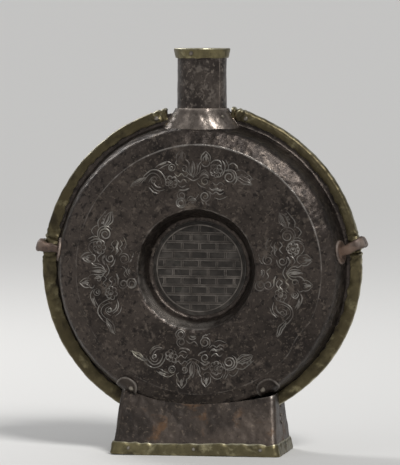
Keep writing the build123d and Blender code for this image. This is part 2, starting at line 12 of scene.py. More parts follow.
import bmesh
import bpy
import numpy as np
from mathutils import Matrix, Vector


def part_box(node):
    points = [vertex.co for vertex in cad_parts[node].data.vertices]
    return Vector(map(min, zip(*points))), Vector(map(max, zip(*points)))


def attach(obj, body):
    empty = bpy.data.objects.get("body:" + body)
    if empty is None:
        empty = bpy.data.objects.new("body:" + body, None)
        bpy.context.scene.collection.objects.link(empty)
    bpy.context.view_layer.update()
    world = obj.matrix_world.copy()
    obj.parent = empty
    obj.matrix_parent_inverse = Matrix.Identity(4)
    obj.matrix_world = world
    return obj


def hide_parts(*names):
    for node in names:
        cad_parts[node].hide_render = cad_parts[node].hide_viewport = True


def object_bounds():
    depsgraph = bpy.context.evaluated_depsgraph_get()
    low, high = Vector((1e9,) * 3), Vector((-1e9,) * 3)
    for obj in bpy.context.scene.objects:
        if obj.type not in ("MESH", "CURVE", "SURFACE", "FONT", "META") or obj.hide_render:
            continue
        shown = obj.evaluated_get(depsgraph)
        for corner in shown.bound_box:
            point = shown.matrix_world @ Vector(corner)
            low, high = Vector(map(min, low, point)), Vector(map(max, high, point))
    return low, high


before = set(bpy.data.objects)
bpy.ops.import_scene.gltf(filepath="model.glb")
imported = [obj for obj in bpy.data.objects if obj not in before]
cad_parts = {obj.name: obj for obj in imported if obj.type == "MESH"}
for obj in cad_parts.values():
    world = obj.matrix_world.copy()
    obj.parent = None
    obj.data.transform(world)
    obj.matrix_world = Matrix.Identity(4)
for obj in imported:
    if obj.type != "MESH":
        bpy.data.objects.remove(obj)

cad_low, cad_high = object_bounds()
scene = bpy.context.scene
print("CAD box in mm:", [round(1000 * size, 1) for size in cad_high - cad_low])

# %% [markdown]
# ## Sizes that come from the frame
#
# Every size that the CAD pieces already hold is read from their boxes, so the meshes follow the frame.
# Sizes inside a piece, which a box can't tell, are named here in metres. The body is turned about an axis
# along Y, so it is described by a radius and by a depth from its middle plane.

# %% Read the main sizes
shell_low, shell_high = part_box("front_shell")
strip_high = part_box("rim_strip_lower_right")[1]
neck_low, neck_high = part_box("neck_tube")
lip_low, lip_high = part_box("lip_band")
collar_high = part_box("neck_collar")[1]
roundel_low, roundel_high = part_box("front_roundel")
lattice_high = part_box("front_lattice")[1]
binding_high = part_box("foot_binding")[1]
left_lug_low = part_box("left_lug")[0]
right_lug_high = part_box("right_lug")[1]

flange_radius = shell_high.x
centre_height = shell_low.z + flange_radius
face_depth = -shell_low.y
rim_radius = strip_high.x
edging_depth = strip_high.y
sheet = 0.0014
flange_depth = edging_depth - sheet
neck_radius = neck_high.x
roundel_radius = roundel_high.x
roundel_depth = -roundel_low.y
lattice_radius = lattice_high.x

wall_foot_radius = 0.121
shoulder_radius = 0.115
shoulder_depth = 0.025
face_radius = 0.1025
well_edge_radius = 0.0495
well_floor_radius = 0.042
well_floor_depth = 0.011
print("centre of the body at", round(centre_height, 4), "face at depth", round(face_depth, 4))

# %% [markdown]
# ## The camera
#
# The photograph was taken from a little to the right of the front and a little above the middle. Its
# place was found by matching the round outlines of rim, face, well, neck and foot: a circle seen at an
# angle turns into an ellipse, and a near circle slides sideways against a far one. The camera is turned,
# not shifted, to put the flask where it stands in the frame.

# %% Set up the camera
photo_width, photo_height = 400, 465
view_azimuth = math.radians(9.47)
view_elevation = math.radians(3.57)
view_distance = 3.854
pixels_per_metre = 1210.0
aim_height = 0.1526
aim_pixel = (202.0, 267.5)
sensor_size = 36.0
view_reach = 400.0


def make_camera():
    """A camera that sees the aim point at the aim pixel, with the sensor's long side upright."""
    data = bpy.data.cameras.new("camera")
    camera = bpy.data.objects.new("camera", data)
    scene.collection.objects.link(camera)
    level = math.cos(view_elevation)
    back = Vector((math.sin(view_azimuth) * level, -math.cos(view_azimuth) * level, math.sin(view_elevation)))
    right = Vector((math.cos(view_azimuth), math.sin(view_azimuth), 0))
    up = right.cross(-back)
    focal_pixels = pixels_per_metre * view_distance
    aside = (aim_pixel[0] - photo_width / 2) / focal_pixels
    above = (photo_height / 2 - aim_pixel[1]) / focal_pixels
    data.sensor_width = sensor_size
    data.lens = sensor_size * focal_pixels / photo_height
    camera.location = Vector((0, 0, aim_height)) + back * view_distance
    camera.rotation_mode = "QUATERNION"
    camera.rotation_quaternion = (-back - right * aside - up * above).to_track_quat("-Z", "Y")
    data.clip_end = view_reach
    return camera


scene.camera = make_camera()
scene.view_settings.view_transform = "Standard"
print("lens in mm:", round(scene.camera.data.lens, 1))

# %% [markdown]
# ## Floor and light
#
# A wide pale floor fills the picture in every view and keeps the eye on the metal. A curved backdrop
# would hide the flask from behind, so there is none. The key light is a soft sun from the upper right,
# because a sun lights the whole floor evenly. A weak fill stands at the left and a strip behind draws the
# edges. The world adds an even glow.

# %% Build the floor and the lamps
floor_half_size = 150.0
floor_colour = (0.70, 0.69, 0.67, 1)
floor_roughness = 0.7
sun_place = (1.05, -1.60, 1.95)
sun_strength = 2.5
sun_spread = math.radians(16)
fill_place = (-2.0, -1.6, 0.9)
fill_size = (1.4, 1.4)
fill_power = 4
edge_strip_place = (-1.2, 1.0, 1.6)
edge_strip_size = (0.5, 1.4)
edge_strip_power = 18
world_colour = (0.95, 0.97, 1.0, 1)
world_strength = 0.30


def make_floor():
    """A flat pale floor."""
    corners = [(-1, -1), (1, -1), (1, 1), (-1, 1)]
    mesh = bpy.data.meshes.new("floor")
    mesh.from_pydata([(x * floor_half_size, y * floor_half_size, 0) for x, y in corners], [], [(0, 1, 2, 3)])
    material = bpy.data.materials.new("pale floor")
    material.use_nodes = True
    shader = material.node_tree.nodes["Principled BSDF"]
    shader.inputs["Base Color"].default_value = floor_colour
    shader.inputs["Roughness"].default_value = floor_roughness
    mesh.materials.append(material)
    floor = bpy.data.objects.new("floor", mesh)
    scene.collection.objects.link(floor)


def add_lamp(name, place, data):
    """A lamp that faces the middle of the flask."""
    lamp = bpy.data.objects.new(name, data)
    lamp.location = place
    lamp.rotation_mode = "QUATERNION"
    lamp.rotation_quaternion = (Vector((0, 0, aim_height)) - Vector(place)).to_track_quat("-Z", "Y")
    scene.collection.objects.link(lamp)


def add_panel(name, place, size, power):
    """A soft rectangular lamp, as wide and high as its size says."""
    data = bpy.data.lights.new(name, "AREA")
    data.shape = "RECTANGLE"
    data.size, data.size_y = size
    data.energy = power
    add_lamp(name, place, data)


make_floor()
sun = bpy.data.lights.new("key", "SUN")
sun.energy = sun_strength
sun.angle = sun_spread
add_lamp("key", sun_place, sun)
add_panel("fill", fill_place, fill_size, fill_power)
add_panel("edge strip", edge_strip_place, edge_strip_size, edge_strip_power)
world = bpy.data.worlds.new("studio")
world.use_nodes = True
glow = world.node_tree.nodes["Background"]
glow.inputs["Color"].default_value = world_colour
glow.inputs["Strength"].default_value = world_strength
scene.world = world
print("lamps:", [lamp.name for lamp in bpy.data.lights])

# %% [markdown]
# ## Hand-made unevenness
#
# Sheet that has been dished over a stake keeps broad waves and small hammer dents. Both are made here as
# smooth fields in space: each adds up a few dozen waves of about one length that run in random
# directions. A field is a plain function of the place, so two pieces that touch get the same push and
# stay together. The alternative, a Displace modifier with a noise texture on each piece, would open gaps
# between them.

# %% Smooth random fields
few_waves = 28
many_waves = 40
wave_length_shares = (0.7, 1.5)
wave_peak = 1.6


def wave_field(length, seed, count=few_waves):
    """A function that gives each point a smooth random value, mostly from -1 to 1."""
    draw = np.random.default_rng(seed)
    ways = draw.normal(size=(count, 3))
    ways /= np.linalg.norm(ways, axis=1)[:, None]
    rates = 2 * math.pi / (length * draw.uniform(*wave_length_shares, count))
    starts = draw.uniform(0, 2 * math.pi, count)

    def field(points):
        """The value at each point."""
        phases = points.reshape(-1, 3) @ (ways * rates[:, None]).T + starts
        return (np.cos(phases).sum(axis=1) * math.sqrt(2 / count) / wave_peak).reshape(points.shape[:-1])

    return field


sway_size = 0.00035
sway_length = 0.11
broad_dent_length = 0.034
hammer_dent_length = 0.0105
fine_dent_length = 0.0042
fold_wave_length = 0.0075
sway_fields = [wave_field(sway_length, seed) for seed in (1, 2, 3)]
broad_dents = wave_field(broad_dent_length, 11)
hammer_dents = wave_field(hammer_dent_length, 12, many_waves)
fine_dents = wave_field(fine_dent_length, 13, many_waves)
fold_waves = wave_field(fold_wave_length, 14, many_waves)


def swayed(points):
    """Moves points by the broad unevenness that the whole flask shares, and keeps them in the CAD box."""
    push = np.stack([field(points) for field in sway_fields], axis=-1) * sway_size
    return np.clip(points + push, np.array(cad_low), np.array(cad_high))


def dents(points, sizes):
    """How far a skin stands out at each point, from the sizes of its broad, hammered and fine dents."""
    broad, hammered, fine = sizes
    return broad * broad_dents(points) + hammered * hammer_dents(points) + fine * fine_dents(points)


def eased(value, start, end):
    """Goes smoothly from 0 at start to 1 at end."""
    share = np.clip((value - start) / (end - start), 0, 1)
    return share * share * (3 - 2 * share)


def hump(value, middle, width):
    """A smooth hump of height 1 round a middle value."""
    return np.exp(-(((value - middle) / width) ** 2))


print("sway fields:", len(sway_fields))

# %% [markdown]
# ## Turning grids of points into sheets and bars
#
# Most pieces are sheet metal. A grid of points describes the outer skin, and the helper below adds the
# inner skin, one sheet thickness behind, and rounds the raw edge between the two. Bars and wires are rows
# of sections instead. Each vertex also keeps a wear value, from 0 in the hollows to 1 on rubbed edges,
# which the materials read; on the shells and the collar it also holds painted highlight and sheen. A form
# is a list of points, faces and wear values, and a piece joins one or more forms.

# %% Mesh helpers
raw_edge_share = 0.35
same_place = 1e-7
shortest_way = 1e-12
sharp_from = math.radians(45)


def grid_faces(rows, columns, wrap_rows, wrap_columns):
    """Quads between the points of a grid, wrapped round in either direction."""
    faces = []
    for row in range(rows if wrap_rows else rows - 1):
        below = (row + 1) % rows
        for column in range(columns if wrap_columns else columns - 1):
            beside = (column + 1) % columns
            faces.append((row * columns + column, row * columns + beside,
                          below * columns + beside, below * columns + column))
    return faces


def unit(vectors):
    """The same ways, each of length 1."""
    return vectors / np.maximum(np.linalg.norm(vectors, axis=-1), shortest_way)[..., None]


def grid_normals(points, wrap_rows):
    """Unit normals of a grid of points."""
    if wrap_rows:
        along = np.roll(points, -1, axis=0) - np.roll(points, 1, axis=0)
    else:
        along = np.gradient(points, axis=0)
    return unit(np.cross(along, np.gradient(points, axis=1)))


def bar_form(sections, closed=False, wear=None):
    """A solid through a row of sections, each with the same number of points round it."""
    rows, columns = sections.shape[:2]
    faces = grid_faces(rows, columns, closed, True)
    if not closed:
        faces.append(tuple(range(columns)))
        faces.append(tuple((rows - 1) * columns + column for column in range(columns)))
    return sections.reshape(-1, 3), faces, np.zeros(rows * columns) if wear is None else wear.ravel()


def sheet_form(skin, thickness, outward, wrap_rows=False, wear=None):
    """A sheet with rounded raw edges. Outward is 1 if the grid's normals point out of it, or else -1."""
    rows, columns = skin.shape[:2]
    under = skin - grid_normals(skin, wrap_rows) * (outward * thickness)
    bulge = thickness * raw_edge_share
    first_edge = (skin[:, 0] + under[:, 0]) / 2 + unit(skin[:, 0] - skin[:, 1]) * bulge
    last_edge = (skin[:, -1] + under[:, -1]) / 2 + unit(skin[:, -1] - skin[:, -2]) * bulge
    loop = np.concatenate([skin, last_edge[:, None], under[:, ::-1], first_edge[:, None]], axis=1)
    wide = loop.shape[1]
    faces = grid_faces(rows, wide, wrap_rows, True)
    for start in () if wrap_rows else (0, (rows - 1) * wide):
        for column in range(columns - 1):
            faces.append((start + column, start + column + 1,
                          start + 2 * columns - column - 1, start + 2 * columns - column))
        faces.append((start + columns - 1, start + columns, start + columns + 1))
        faces.append((start, start + 2 * columns, start + 2 * columns + 1))
    skin_wear = np.zeros((rows, columns)) if wear is None else wear
    edge_wear = np.ones((rows, 1))
    loop_wear = np.concatenate([skin_wear, edge_wear, 0 * skin_wear, edge_wear], axis=1)
    return loop.reshape(-1, 3), faces, loop_wear.ravel()


# %% One piece from its forms
def joined_mesh(name, forms):
    """One mesh of all the forms, with their wear, in which points at the same place are one."""
    points, faces, wear = [], [], []
    start = 0
    for form_points, form_faces, form_wear in forms:
        points.append(form_points)
        wear.append(form_wear)
        faces += [tuple(start + corner for corner in face) for face in form_faces]
        start += len(form_points)
    mesh = bpy.data.meshes.new(name)
    mesh.from_pydata(np.concatenate(points).tolist(), [], faces)
    layer = mesh.attributes.new("wear", "FLOAT", "POINT")
    layer.data.foreach_set("value", np.concatenate(wear).astype(np.float32))
    shaped = bmesh.new()
    shaped.from_mesh(mesh)
    bmesh.ops.remove_doubles(shaped, verts=shaped.verts, dist=same_place)
    bmesh.ops.recalc_face_normals(shaped, faces=shaped.faces)
    shaped.to_mesh(mesh)
    shaped.free()
    return mesh


def add_piece(name, forms, material, slot, *replaced):
    """A piece with its metal, tied to the flask's one body, in place of its CAD nodes."""
    mesh = joined_mesh(name, forms)
    mesh.shade_smooth()
    mesh.set_sharp_from_angle(angle=sharp_from)
    mesh.materials.append(material)
    piece = bpy.data.objects.new(name, mesh)
    scene.collection.objects.link(piece)
    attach(piece, "root")
    if replaced:
        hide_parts(*replaced)
    print(name, len(mesh.polygons), "faces")
    return piece


# %% Lines with rounded corners
def rounded_line(corners, bends, steps=7):
    """A line through corners, with each inner corner turned into an arc of its bend radius."""
    corners = [np.array(corner, float) for corner in corners]
    line = [corners[0]]
    for before, corner, after, bend in zip(corners, corners[1:], corners[2:], bends):
        to_before = unit(before - corner)
        to_after = unit(after - corner)
        half = math.acos(np.clip(to_before @ to_after, -1, 1)) / 2
        middle = corner + unit(to_before + to_after) * bend / math.sin(half)
        start = corner + to_before * bend / math.tan(half) - middle
        end = corner + to_after * bend / math.tan(half) - middle
        sweep = math.atan2(start[0] * end[1] - start[1] * end[0], start @ end)
        for step in range(steps + 1):
            turn = sweep * step / steps
            line.append(middle + np.array([start[0] * math.cos(turn) - start[1] * math.sin(turn),
                                           start[0] * math.sin(turn) + start[1] * math.cos(turn)]))
    line.append(corners[-1])
    return np.array(line)


def runs_along(line):
    """How far along a line each of its points lies."""
    return np.concatenate([[0], np.cumsum(np.linalg.norm(np.diff(line, axis=0), axis=1))])


def evened(line, spacing):
    """The same line with points at an even spacing."""
    runs = runs_along(line)
    places = np.linspace(0, runs[-1], max(int(round(runs[-1] / spacing)), 2) + 1)
    return np.stack([np.interp(places, runs, line[:, axis]) for axis in range(line.shape[1])], axis=1)


# %% [markdown]
# ## Shader groups that the metals share
#
# Old iron and brass differ in colour, but they age in the same ways: the patina gathers in blotches,
# small pits and spots break it up, the hammer leaves a soft grain, and edges are rubbed bright. Each of
# these is a node group with named inputs, built once. A group gives only a mask, a colour or a height,
# and the shader stays in the material, so that the export can read it.

# %% Node helpers
colour_a, colour_b = 6, 7
mixed_colour = 2


def new_group(name, inputs, output):
    """An empty group with number sockets. Returns the group, what it is given and its one output."""
    group = bpy.data.node_groups.new(name, "ShaderNodeTree")
    for socket, value in inputs.items():
        made = group.interface.new_socket(name=socket, in_out="INPUT", socket_type="NodeSocketFloat")
        made.default_value = value
    group.interface.new_socket(name=output, in_out="OUTPUT", socket_type="NodeSocketFloat")
    given = group.nodes.new("NodeGroupInput").outputs
    return group, given, group.nodes.new("NodeGroupOutput").inputs[output]


def add_node(tree, kind, settings=None, inputs=None):
    """A node with its settings and inputs. An input's value is a socket to link, or a plain value."""
    made = tree.nodes.new(kind)
    for setting, value in (settings or {}).items():
        setattr(made, setting, value)
    for name, value in (inputs or {}).items():
        if isinstance(value, bpy.types.NodeSocket):
            tree.links.new(value, made.inputs[name])
        else:
            made.inputs[name].default_value = value
    return made


def maths(tree, operation, first, second=0.0):
    """The result of one sum on two values or sockets."""
    return add_node(tree, "ShaderNodeMath", {"operation": operation}, {0: first, 1: second}).outputs[0]


def remap(tree, value, low, high):
    """Stretches the part of a value between low and high to run smoothly from 0 to 1."""
    made = add_node(tree, "ShaderNodeMapRange", {"interpolation_type": "SMOOTHSTEP"},
                    {"Value": value, "From Min": low, "From Max": high})
    return made.outputs["Result"]


def mix_colour(tree, share, first, second):
    """A mix of two colours, each a socket or three numbers."""
    inputs = {0: share}
    for number, value in ((colour_a, first), (colour_b, second)):
        inputs[number] = value if isinstance(value, bpy.types.NodeSocket) else (*value, 1)
    return add_node(tree, "ShaderNodeMix", {"data_type": "RGBA"}, inputs).outputs[mixed_colour]


def object_place(tree):
    """The place in the flask's own space, so a pattern is as large in every piece."""
    return add_node(tree, "ShaderNodeTexCoord").outputs["Object"]


def noise(tree, scale, detail=4.0, roughness=0.55, distortion=0.0):
    """A soft noise from 0 to 1. The scale counts its waves in a metre."""
    made = add_node(tree, "ShaderNodeTexNoise", None, {
        "Vector": object_place(tree), "Scale": scale, "Detail": detail,
        "Roughness": roughness, "Distortion": distortion,
    })
    return made.outputs["Fac"]


def use_group(tree, group, values):
    """Places a group in a material's tree with its own values, and returns what it puts out."""
    return add_node(tree, "ShaderNodeGroup", {"node_tree": group}, values).outputs[0]


# %% Blotches and pits
pit_noise_scale = 160.0
pit_noise_gain = 2.0


def build_blotches():
    """A soft patchy mask. Cover is the share of the surface under the patches."""
    group, given, out = new_group("blotches", {"Scale": 20.0, "Cover": 0.5, "Softness": 0.12}, "Mask")
    value = noise(group, given["Scale"], detail=6.0, roughness=0.6, distortion=0.4)
    edge = maths(group, "SUBTRACT", 1.0, given["Cover"])
    low = maths(group, "SUBTRACT", edge, given["Softness"])
    high = maths(group, "ADD", edge, given["Softness"])
    group.links.new(remap(group, value, low, high), out)
    return group


def build_pits():
    """Small round spots where the metal is pitted, of uneven size."""
    group, given, out = new_group("pits", {"Scale": 400.0, "Size": 0.22}, "Mask")
    cells = add_node(group, "ShaderNodeTexVoronoi", {"feature": "F1"},
                     {"Vector": object_place(group), "Scale": given["Scale"], "Randomness": 1.0})
    uneven = maths(group, "MULTIPLY", noise(group, pit_noise_scale, detail=3.0), pit_noise_gain)
    size = maths(group, "MULTIPLY", given["Size"], uneven)
    group.links.new(remap(group, cells.outputs["Distance"], size, 0.0), out)
    return group


blotches = build_blotches()
pits = build_pits()
print("patina groups:", blotches.name, pits.name)


# %% Hammer grain and rubbed edges
mark_scale = 190.0
grit_scale = 900.0
grit_share = 0.35
swell_scale = 120.0
rub_noise_gain = 1.6
rub_noise_floor = 0.1
rub_edges = (0.25, 0.95)


def build_grain():
    """The height of small hammer marks, scratches and grit."""
    group, given, out = new_group("hammer grain", {"Marks": 1.0, "Grit": 1.0}, "Height")
    cells = add_node(group, "ShaderNodeTexVoronoi", {"feature": "SMOOTH_F1"}, {
        "Vector": object_place(group), "Scale": mark_scale, "Smoothness": 0.7, "Randomness": 1.0,
    })
    marks = maths(group, "MULTIPLY", cells.outputs["Distance"], given["Marks"])
    grit = maths(group, "MULTIPLY", noise(group, grit_scale, detail=5.0, roughness=0.7), given["Grit"])
    marks_and_grit = maths(group, "ADD", marks, maths(group, "MULTIPLY", grit, grit_share))
    swell = noise(group, swell_scale, detail=3.0, roughness=0.5)
    group.links.new(maths(group, "ADD", marks_and_grit, swell), out)
    return group


def build_rubbed():
    """Rubbed bright edges, and painted highlight on the shells and collar: the kept wear, broken by noise."""
    group, given, out = new_group("rubbed edges and painted highlights", {"Amount": 1.0, "Scale": 90.0}, "Mask")
    wear = add_node(group, "ShaderNodeAttribute", {"attribute_name": "wear"}).outputs["Fac"]
    noisy = noise(group, given["Scale"], detail=5.0, roughness=0.65)
    broken = maths(group, "ADD", maths(group, "MULTIPLY", noisy, rub_noise_gain), rub_noise_floor)
    uneven_wear = maths(group, "MULTIPLY", wear, broken)
    amount = maths(group, "MULTIPLY", uneven_wear, given["Amount"])
    group.links.new(remap(group, amount, *rub_edges), out)
    return group


grain = build_grain()
rubbed = build_rubbed()
print("surface groups:", grain.name, rubbed.name)

# %% [markdown]
# ## The metals
#
# Each metal is layered like the real one: a base patina, paler and browner blotches over it, pits, and
# bright rubbed edges. Roughness follows the same masks, because rubbed metal is smoother than rust. The
# colours are written as they should look under plain light.

# %% Layered metal
mottle_scale = 75.0
mottle_edges = (0.32, 0.68)
mottle_dark_share = 0.45
unevenness_scale = 130.0
roughness_range = 0.12
rub_smoothing = 0.14
bump_strength = 0.6
common_bump = 0.00030


def add_layers(tree, colour, roughness, layers):
    """Lays each layer over a colour and a roughness: its group is the mask for its own colour and change."""
    for group, values, tint, rougher in layers:
        mask = use_group(tree, group, values)
        colour = mix_colour(tree, mask, colour, tint)
        roughness = maths(tree, "ADD", roughness, maths(tree, "MULTIPLY", mask, rougher))
    return colour, roughness


def metal(name, base, rough, metallic, marks, grit, patches, spots=(), rub=None, rub_amount=1.0,
          bump=common_bump):
    """A metal with a mottled base colour, patches, small spots and rubbed edges.

    A patch is its scale, cover, softness, colour and roughness change, a spot its scale, size, colour and
    roughness change. Both lie over each other in the order given.
    """
    material = bpy.data.materials.new(name)
    material.use_nodes = True
    tree = material.node_tree
    shader = tree.nodes["Principled BSDF"]
    mottle = remap(tree, noise(tree, mottle_scale, detail=9.0, roughness=0.68), *mottle_edges)
    colour = mix_colour(tree, mottle, base, [mottle_dark_share * part for part in base])
    uneven = maths(tree, "MULTIPLY", noise(tree, unevenness_scale, detail=5.0), roughness_range)
    roughness = maths(tree, "ADD", rough - roughness_range / 2, uneven)
    layers = [(blotches, {"Scale": scale, "Cover": cover, "Softness": softness}, tint, rougher)
              for scale, cover, softness, tint, rougher in patches]
    layers += [(pits, {"Scale": scale, "Size": size}, tint, rougher) for scale, size, tint, rougher in spots]
    if rub:
        layers.append((rubbed, {"Amount": rub_amount}, rub, -rub_smoothing))
    colour, roughness = add_layers(tree, colour, roughness, layers)
    tree.links.new(colour, shader.inputs["Base Color"])
    tree.links.new(roughness, shader.inputs["Roughness"])
    shader.inputs["Metallic"].default_value = metallic
    height = use_group(tree, grain, {"Marks": marks, "Grit": grit})
    bumped = add_node(tree, "ShaderNodeBump", None,
                      {"Height": height, "Strength": bump_strength, "Distance": bump})
    tree.links.new(bumped.outputs["Normal"], shader.inputs["Normal"])
    return material


# %% Irons
# On the dished shells the rub colour also paints highlight on the upper right edges and the well's lower left
# wall.
iron = metal(
    "hammered iron", base=(0.041, 0.0322, 0.0272),
    rough=0.35, metallic=0.80, marks=1.0, grit=1.2,
    patches=[
        (16.0, 0.5, 0.16, (0.064, 0.051, 0.043), 0.03),
        (38.0, 0.38, 0.10, (0.018, 0.0142, 0.0125), 0.05),
        (75.0, 0.35, 0.07, (0.118, 0.096, 0.079), 0.00),
        (190.0, 0.42, 0.07, (0.020, 0.016, 0.014), 0.06),
        (400.0, 0.40, 0.05, (0.094, 0.076, 0.062), -0.02),
    ],
    spots=[(330.0, 0.24, (0.020, 0.0155, 0.0135), 0.15)],
    rub=(0.34, 0.31, 0.28), bump=0.00085,
)
# On the collar the rub colour also paints a sheen that stands in for a reflection.
neck_iron = metal(
    "neck iron, rubbed and with painted sheen", base=(0.062, 0.050, 0.043),
    rough=0.34, metallic=0.78, marks=1.0, grit=1.0,
    patches=[
        (30.0, 0.46, 0.12, (0.105, 0.086, 0.073), -0.02),
        (64.0, 0.36, 0.08, (0.022, 0.018, 0.016), 0.06),
        (150.0, 0.40, 0.07, (0.135, 0.114, 0.098), 0.00),
        (380.0, 0.40, 0.05, (0.150, 0.126, 0.106), -0.03),
    ],
    spots=[(330.0, 0.24, (0.024, 0.019, 0.017), 0.15)],
    rub=(0.38, 0.322, 0.276), bump=0.00055,
)
foot_iron = metal(
    "foot iron", base=(0.044, 0.034, 0.028),
    rough=0.46, metallic=0.70, marks=0.9, grit=1.2,
    patches=[
        (22.0, 0.48, 0.14, (0.078, 0.060, 0.048), 0.02),
        (48.0, 0.36, 0.08, (0.100, 0.056, 0.030), 0.10),
        (95.0, 0.30, 0.06, (0.024, 0.019, 0.017), 0.05),
        (340.0, 0.38, 0.05, (0.100, 0.078, 0.060), 0.00),
    ],
    spots=[(300.0, 0.24, (0.026, 0.018, 0.014), 0.15)],
    rub=(0.30, 0.27, 0.24), rub_amount=0.75, bump=0.00055,
)
lug_iron = metal(
    "rusty lug iron", base=(0.092, 0.061, 0.047),
    rough=0.52, metallic=0.45, marks=0.7, grit=1.6,
    patches=[
        (90.0, 0.5, 0.10, (0.130, 0.084, 0.060), 0.08),
        (160.0, 0.36, 0.07, (0.060, 0.043, 0.037), 0.05),
    ],
    rub=(0.33, 0.28, 0.245), rub_amount=0.6,
)
rivet_iron = metal(
    "rivet iron", base=(0.120, 0.103, 0.082),
    rough=0.48, metallic=0.65, marks=0.5, grit=0.8,
    patches=[
        (200.0, 0.45, 0.10, (0.120, 0.100, 0.085), 0.06),
    ],
    rub=(0.33, 0.30, 0.25), rub_amount=0.8,
)
print("irons:", [made.name for made in (iron, neck_iron, foot_iron, lug_iron, rivet_iron)])

# %% The well's plate, the silver lines and the brass
roundel_iron = metal(
    "green-grey plate", base=(0.042, 0.036, 0.031),
    rough=0.46, metallic=0.65, marks=0.7, grit=1.0,
    patches=[
        (60.0, 0.45, 0.12, (0.074, 0.065, 0.057), 0.03),
        (85.0, 0.35, 0.08, (0.034, 0.032, 0.027), 0.08),
    ],
    rub=(0.20, 0.185, 0.17), rub_amount=0.9,
)
lattice_iron = metal(
    "rubbed lattice iron", base=(0.058, 0.049, 0.042),
    rough=0.42, metallic=0.75, marks=0.5, grit=0.8,
    patches=[
        (70.0, 0.45, 0.12, (0.032, 0.027, 0.023), 0.04),
        (40.0, 0.34, 0.10, (0.110, 0.095, 0.082), 0.00),
    ],
    rub=(0.19, 0.168, 0.148), rub_amount=0.75,
)
silver_line = metal(
    "worn silver line", base=(0.250, 0.232, 0.208),
    rough=0.40, metallic=0.80, marks=0.3, grit=0.6,
    patches=[
        (62.0, 0.46, 0.10, (0.085, 0.072, 0.063), 0.08),
        (30.0, 0.34, 0.10, (0.420, 0.390, 0.300), 0.02),
    ],
)
brass = metal(
    "aged brass", base=(0.190, 0.162, 0.084),
    rough=0.38, metallic=0.80, marks=0.8, grit=0.8,
    patches=[
        (30.0, 0.50, 0.14, (0.110, 0.092, 0.046), 0.05),
        (70.0, 0.38, 0.08, (0.330, 0.292, 0.170), -0.05),
        (52.0, 0.38, 0.08, (0.048, 0.039, 0.021), 0.08),
        (24.0, 0.26, 0.06, (0.040, 0.066, 0.048), 0.16),
    ],
    spots=[(260.0, 0.22, (0.080, 0.064, 0.034), 0.12)],
    rub=(0.62, 0.58, 0.43),
)
edging_brass = metal(
    "dark edging brass", base=(0.118, 0.097, 0.050),
    rough=0.36, metallic=0.82, marks=0.9, grit=0.8,
    patches=[
        (30.0, 0.50, 0.14, (0.070, 0.056, 0.028), 0.05),
        (70.0, 0.36, 0.09, (0.215, 0.186, 0.104), -0.04),
        (52.0, 0.38, 0.08, (0.034, 0.027, 0.015), 0.08),
        (24.0, 0.26, 0.06, (0.034, 0.056, 0.042), 0.16),
    ],
    spots=[(260.0, 0.22, (0.060, 0.047, 0.025), 0.12)],
    rub=(0.62, 0.58, 0.43), bump=0.00045,
)
print("metals:", [material.name for material in bpy.data.materials])

# %% [markdown]
# ## The body's skin
#
# Everything on the body sits on one outline, from the middle of the well out to the flange. The functions
# here find a point on that skin from an angle round the body and a run along the outline, so washers and
# ears can be laid on it, and they say how far the body reaches at a depth, so the foot and the collar can
# be cut to it.

# %% The outline and places on it
pole_gap = 0.0003
skin_spacing = 0.0004
face_edge_margin = 0.006
shell_corners = [
    (pole_gap, well_floor_depth),
    (well_floor_radius, well_floor_depth),
    (well_edge_radius, face_depth),
    (face_radius, face_depth),
    (shoulder_radius, shoulder_depth),
    (wall_foot_radius, flange_depth),
    (flange_radius, flange_depth),
]
shell_bends = [0.0030, 0.0050, 0.0032, 0.0070, 0.0020]
shell_spacing = 0.0012
skin_line = evened(rounded_line(shell_corners, shell_bends), skin_spacing)
skin_runs = runs_along(skin_line)
skin_ways = unit(np.gradient(skin_line, axis=0))
outer_start = int(np.argmax(skin_line[:, 0] > face_radius - face_edge_margin))


def around(radii, depths, angles, side):
    """Points at a radius and depth, for each angle round the body's axis. Side is -1 for the front."""
    return np.stack([
        radii * np.cos(angles),
        side * depths + 0 * angles,
        centre_height + radii * np.sin(angles),
    ], axis=-1)


def on_skin(angles, runs, lift, side):
    """Points on the body at a run along its outline, lifted off the skin."""
    radii, depths = (np.interp(runs, skin_runs, skin_line[:, axis]) for axis in (0, 1))
    way_out, way_deep = (np.interp(runs, skin_runs, skin_ways[:, axis]) for axis in (0, 1))
    return around(radii - way_deep * lift, depths + way_out * lift, angles, side)


def run_at(radius):
    """How far along the outline the body has a radius."""
    return float(np.interp(radius, skin_line[:, 0], skin_runs))


def run_at_depth(depth):
    """How far along the outline, beyond the face's edge, the body has a depth."""
    return float(np.interp(-depth, -skin_line[outer_start:, 1], skin_runs[outer_start:]))


def reach_at(depths):
    """The radius of the body's skin at each depth, beyond the face's edge."""
    outer = skin_line[outer_start:][::-1]
    return np.interp(depths, outer[:, 1], outer[:, 0], left=flange_radius, right=0)


def inside_body(points, gap):
    """Whether each point is in the body or in the brass edging, or nearer to them than a gap."""
    radii = np.hypot(points[..., 0], points[..., 2] - centre_height)
    depths = np.abs(points[..., 1])
    in_shells = radii < np.where(depths < face_depth, reach_at(depths), 0) + gap
    in_edging = (radii < rim_radius + gap) & (depths < edging_depth + gap)
    return in_shells | in_edging


print("outline:", len(skin_line), "points over", round(1000 * float(skin_runs[-1]), 1), "mm")

# %% [markdown]
# ## The two dished shells
#
# A shell is one iron sheet, beaten into a flat face with a sloping shoulder, a steep wall and a narrow
# flange, and sunk in the middle into a round well. It could be lathed as a true surface of revolution,
# but the real face is a little off centre and has a dent at its lower right edge, so the turned grid is
# pushed about before it is made into a sheet.

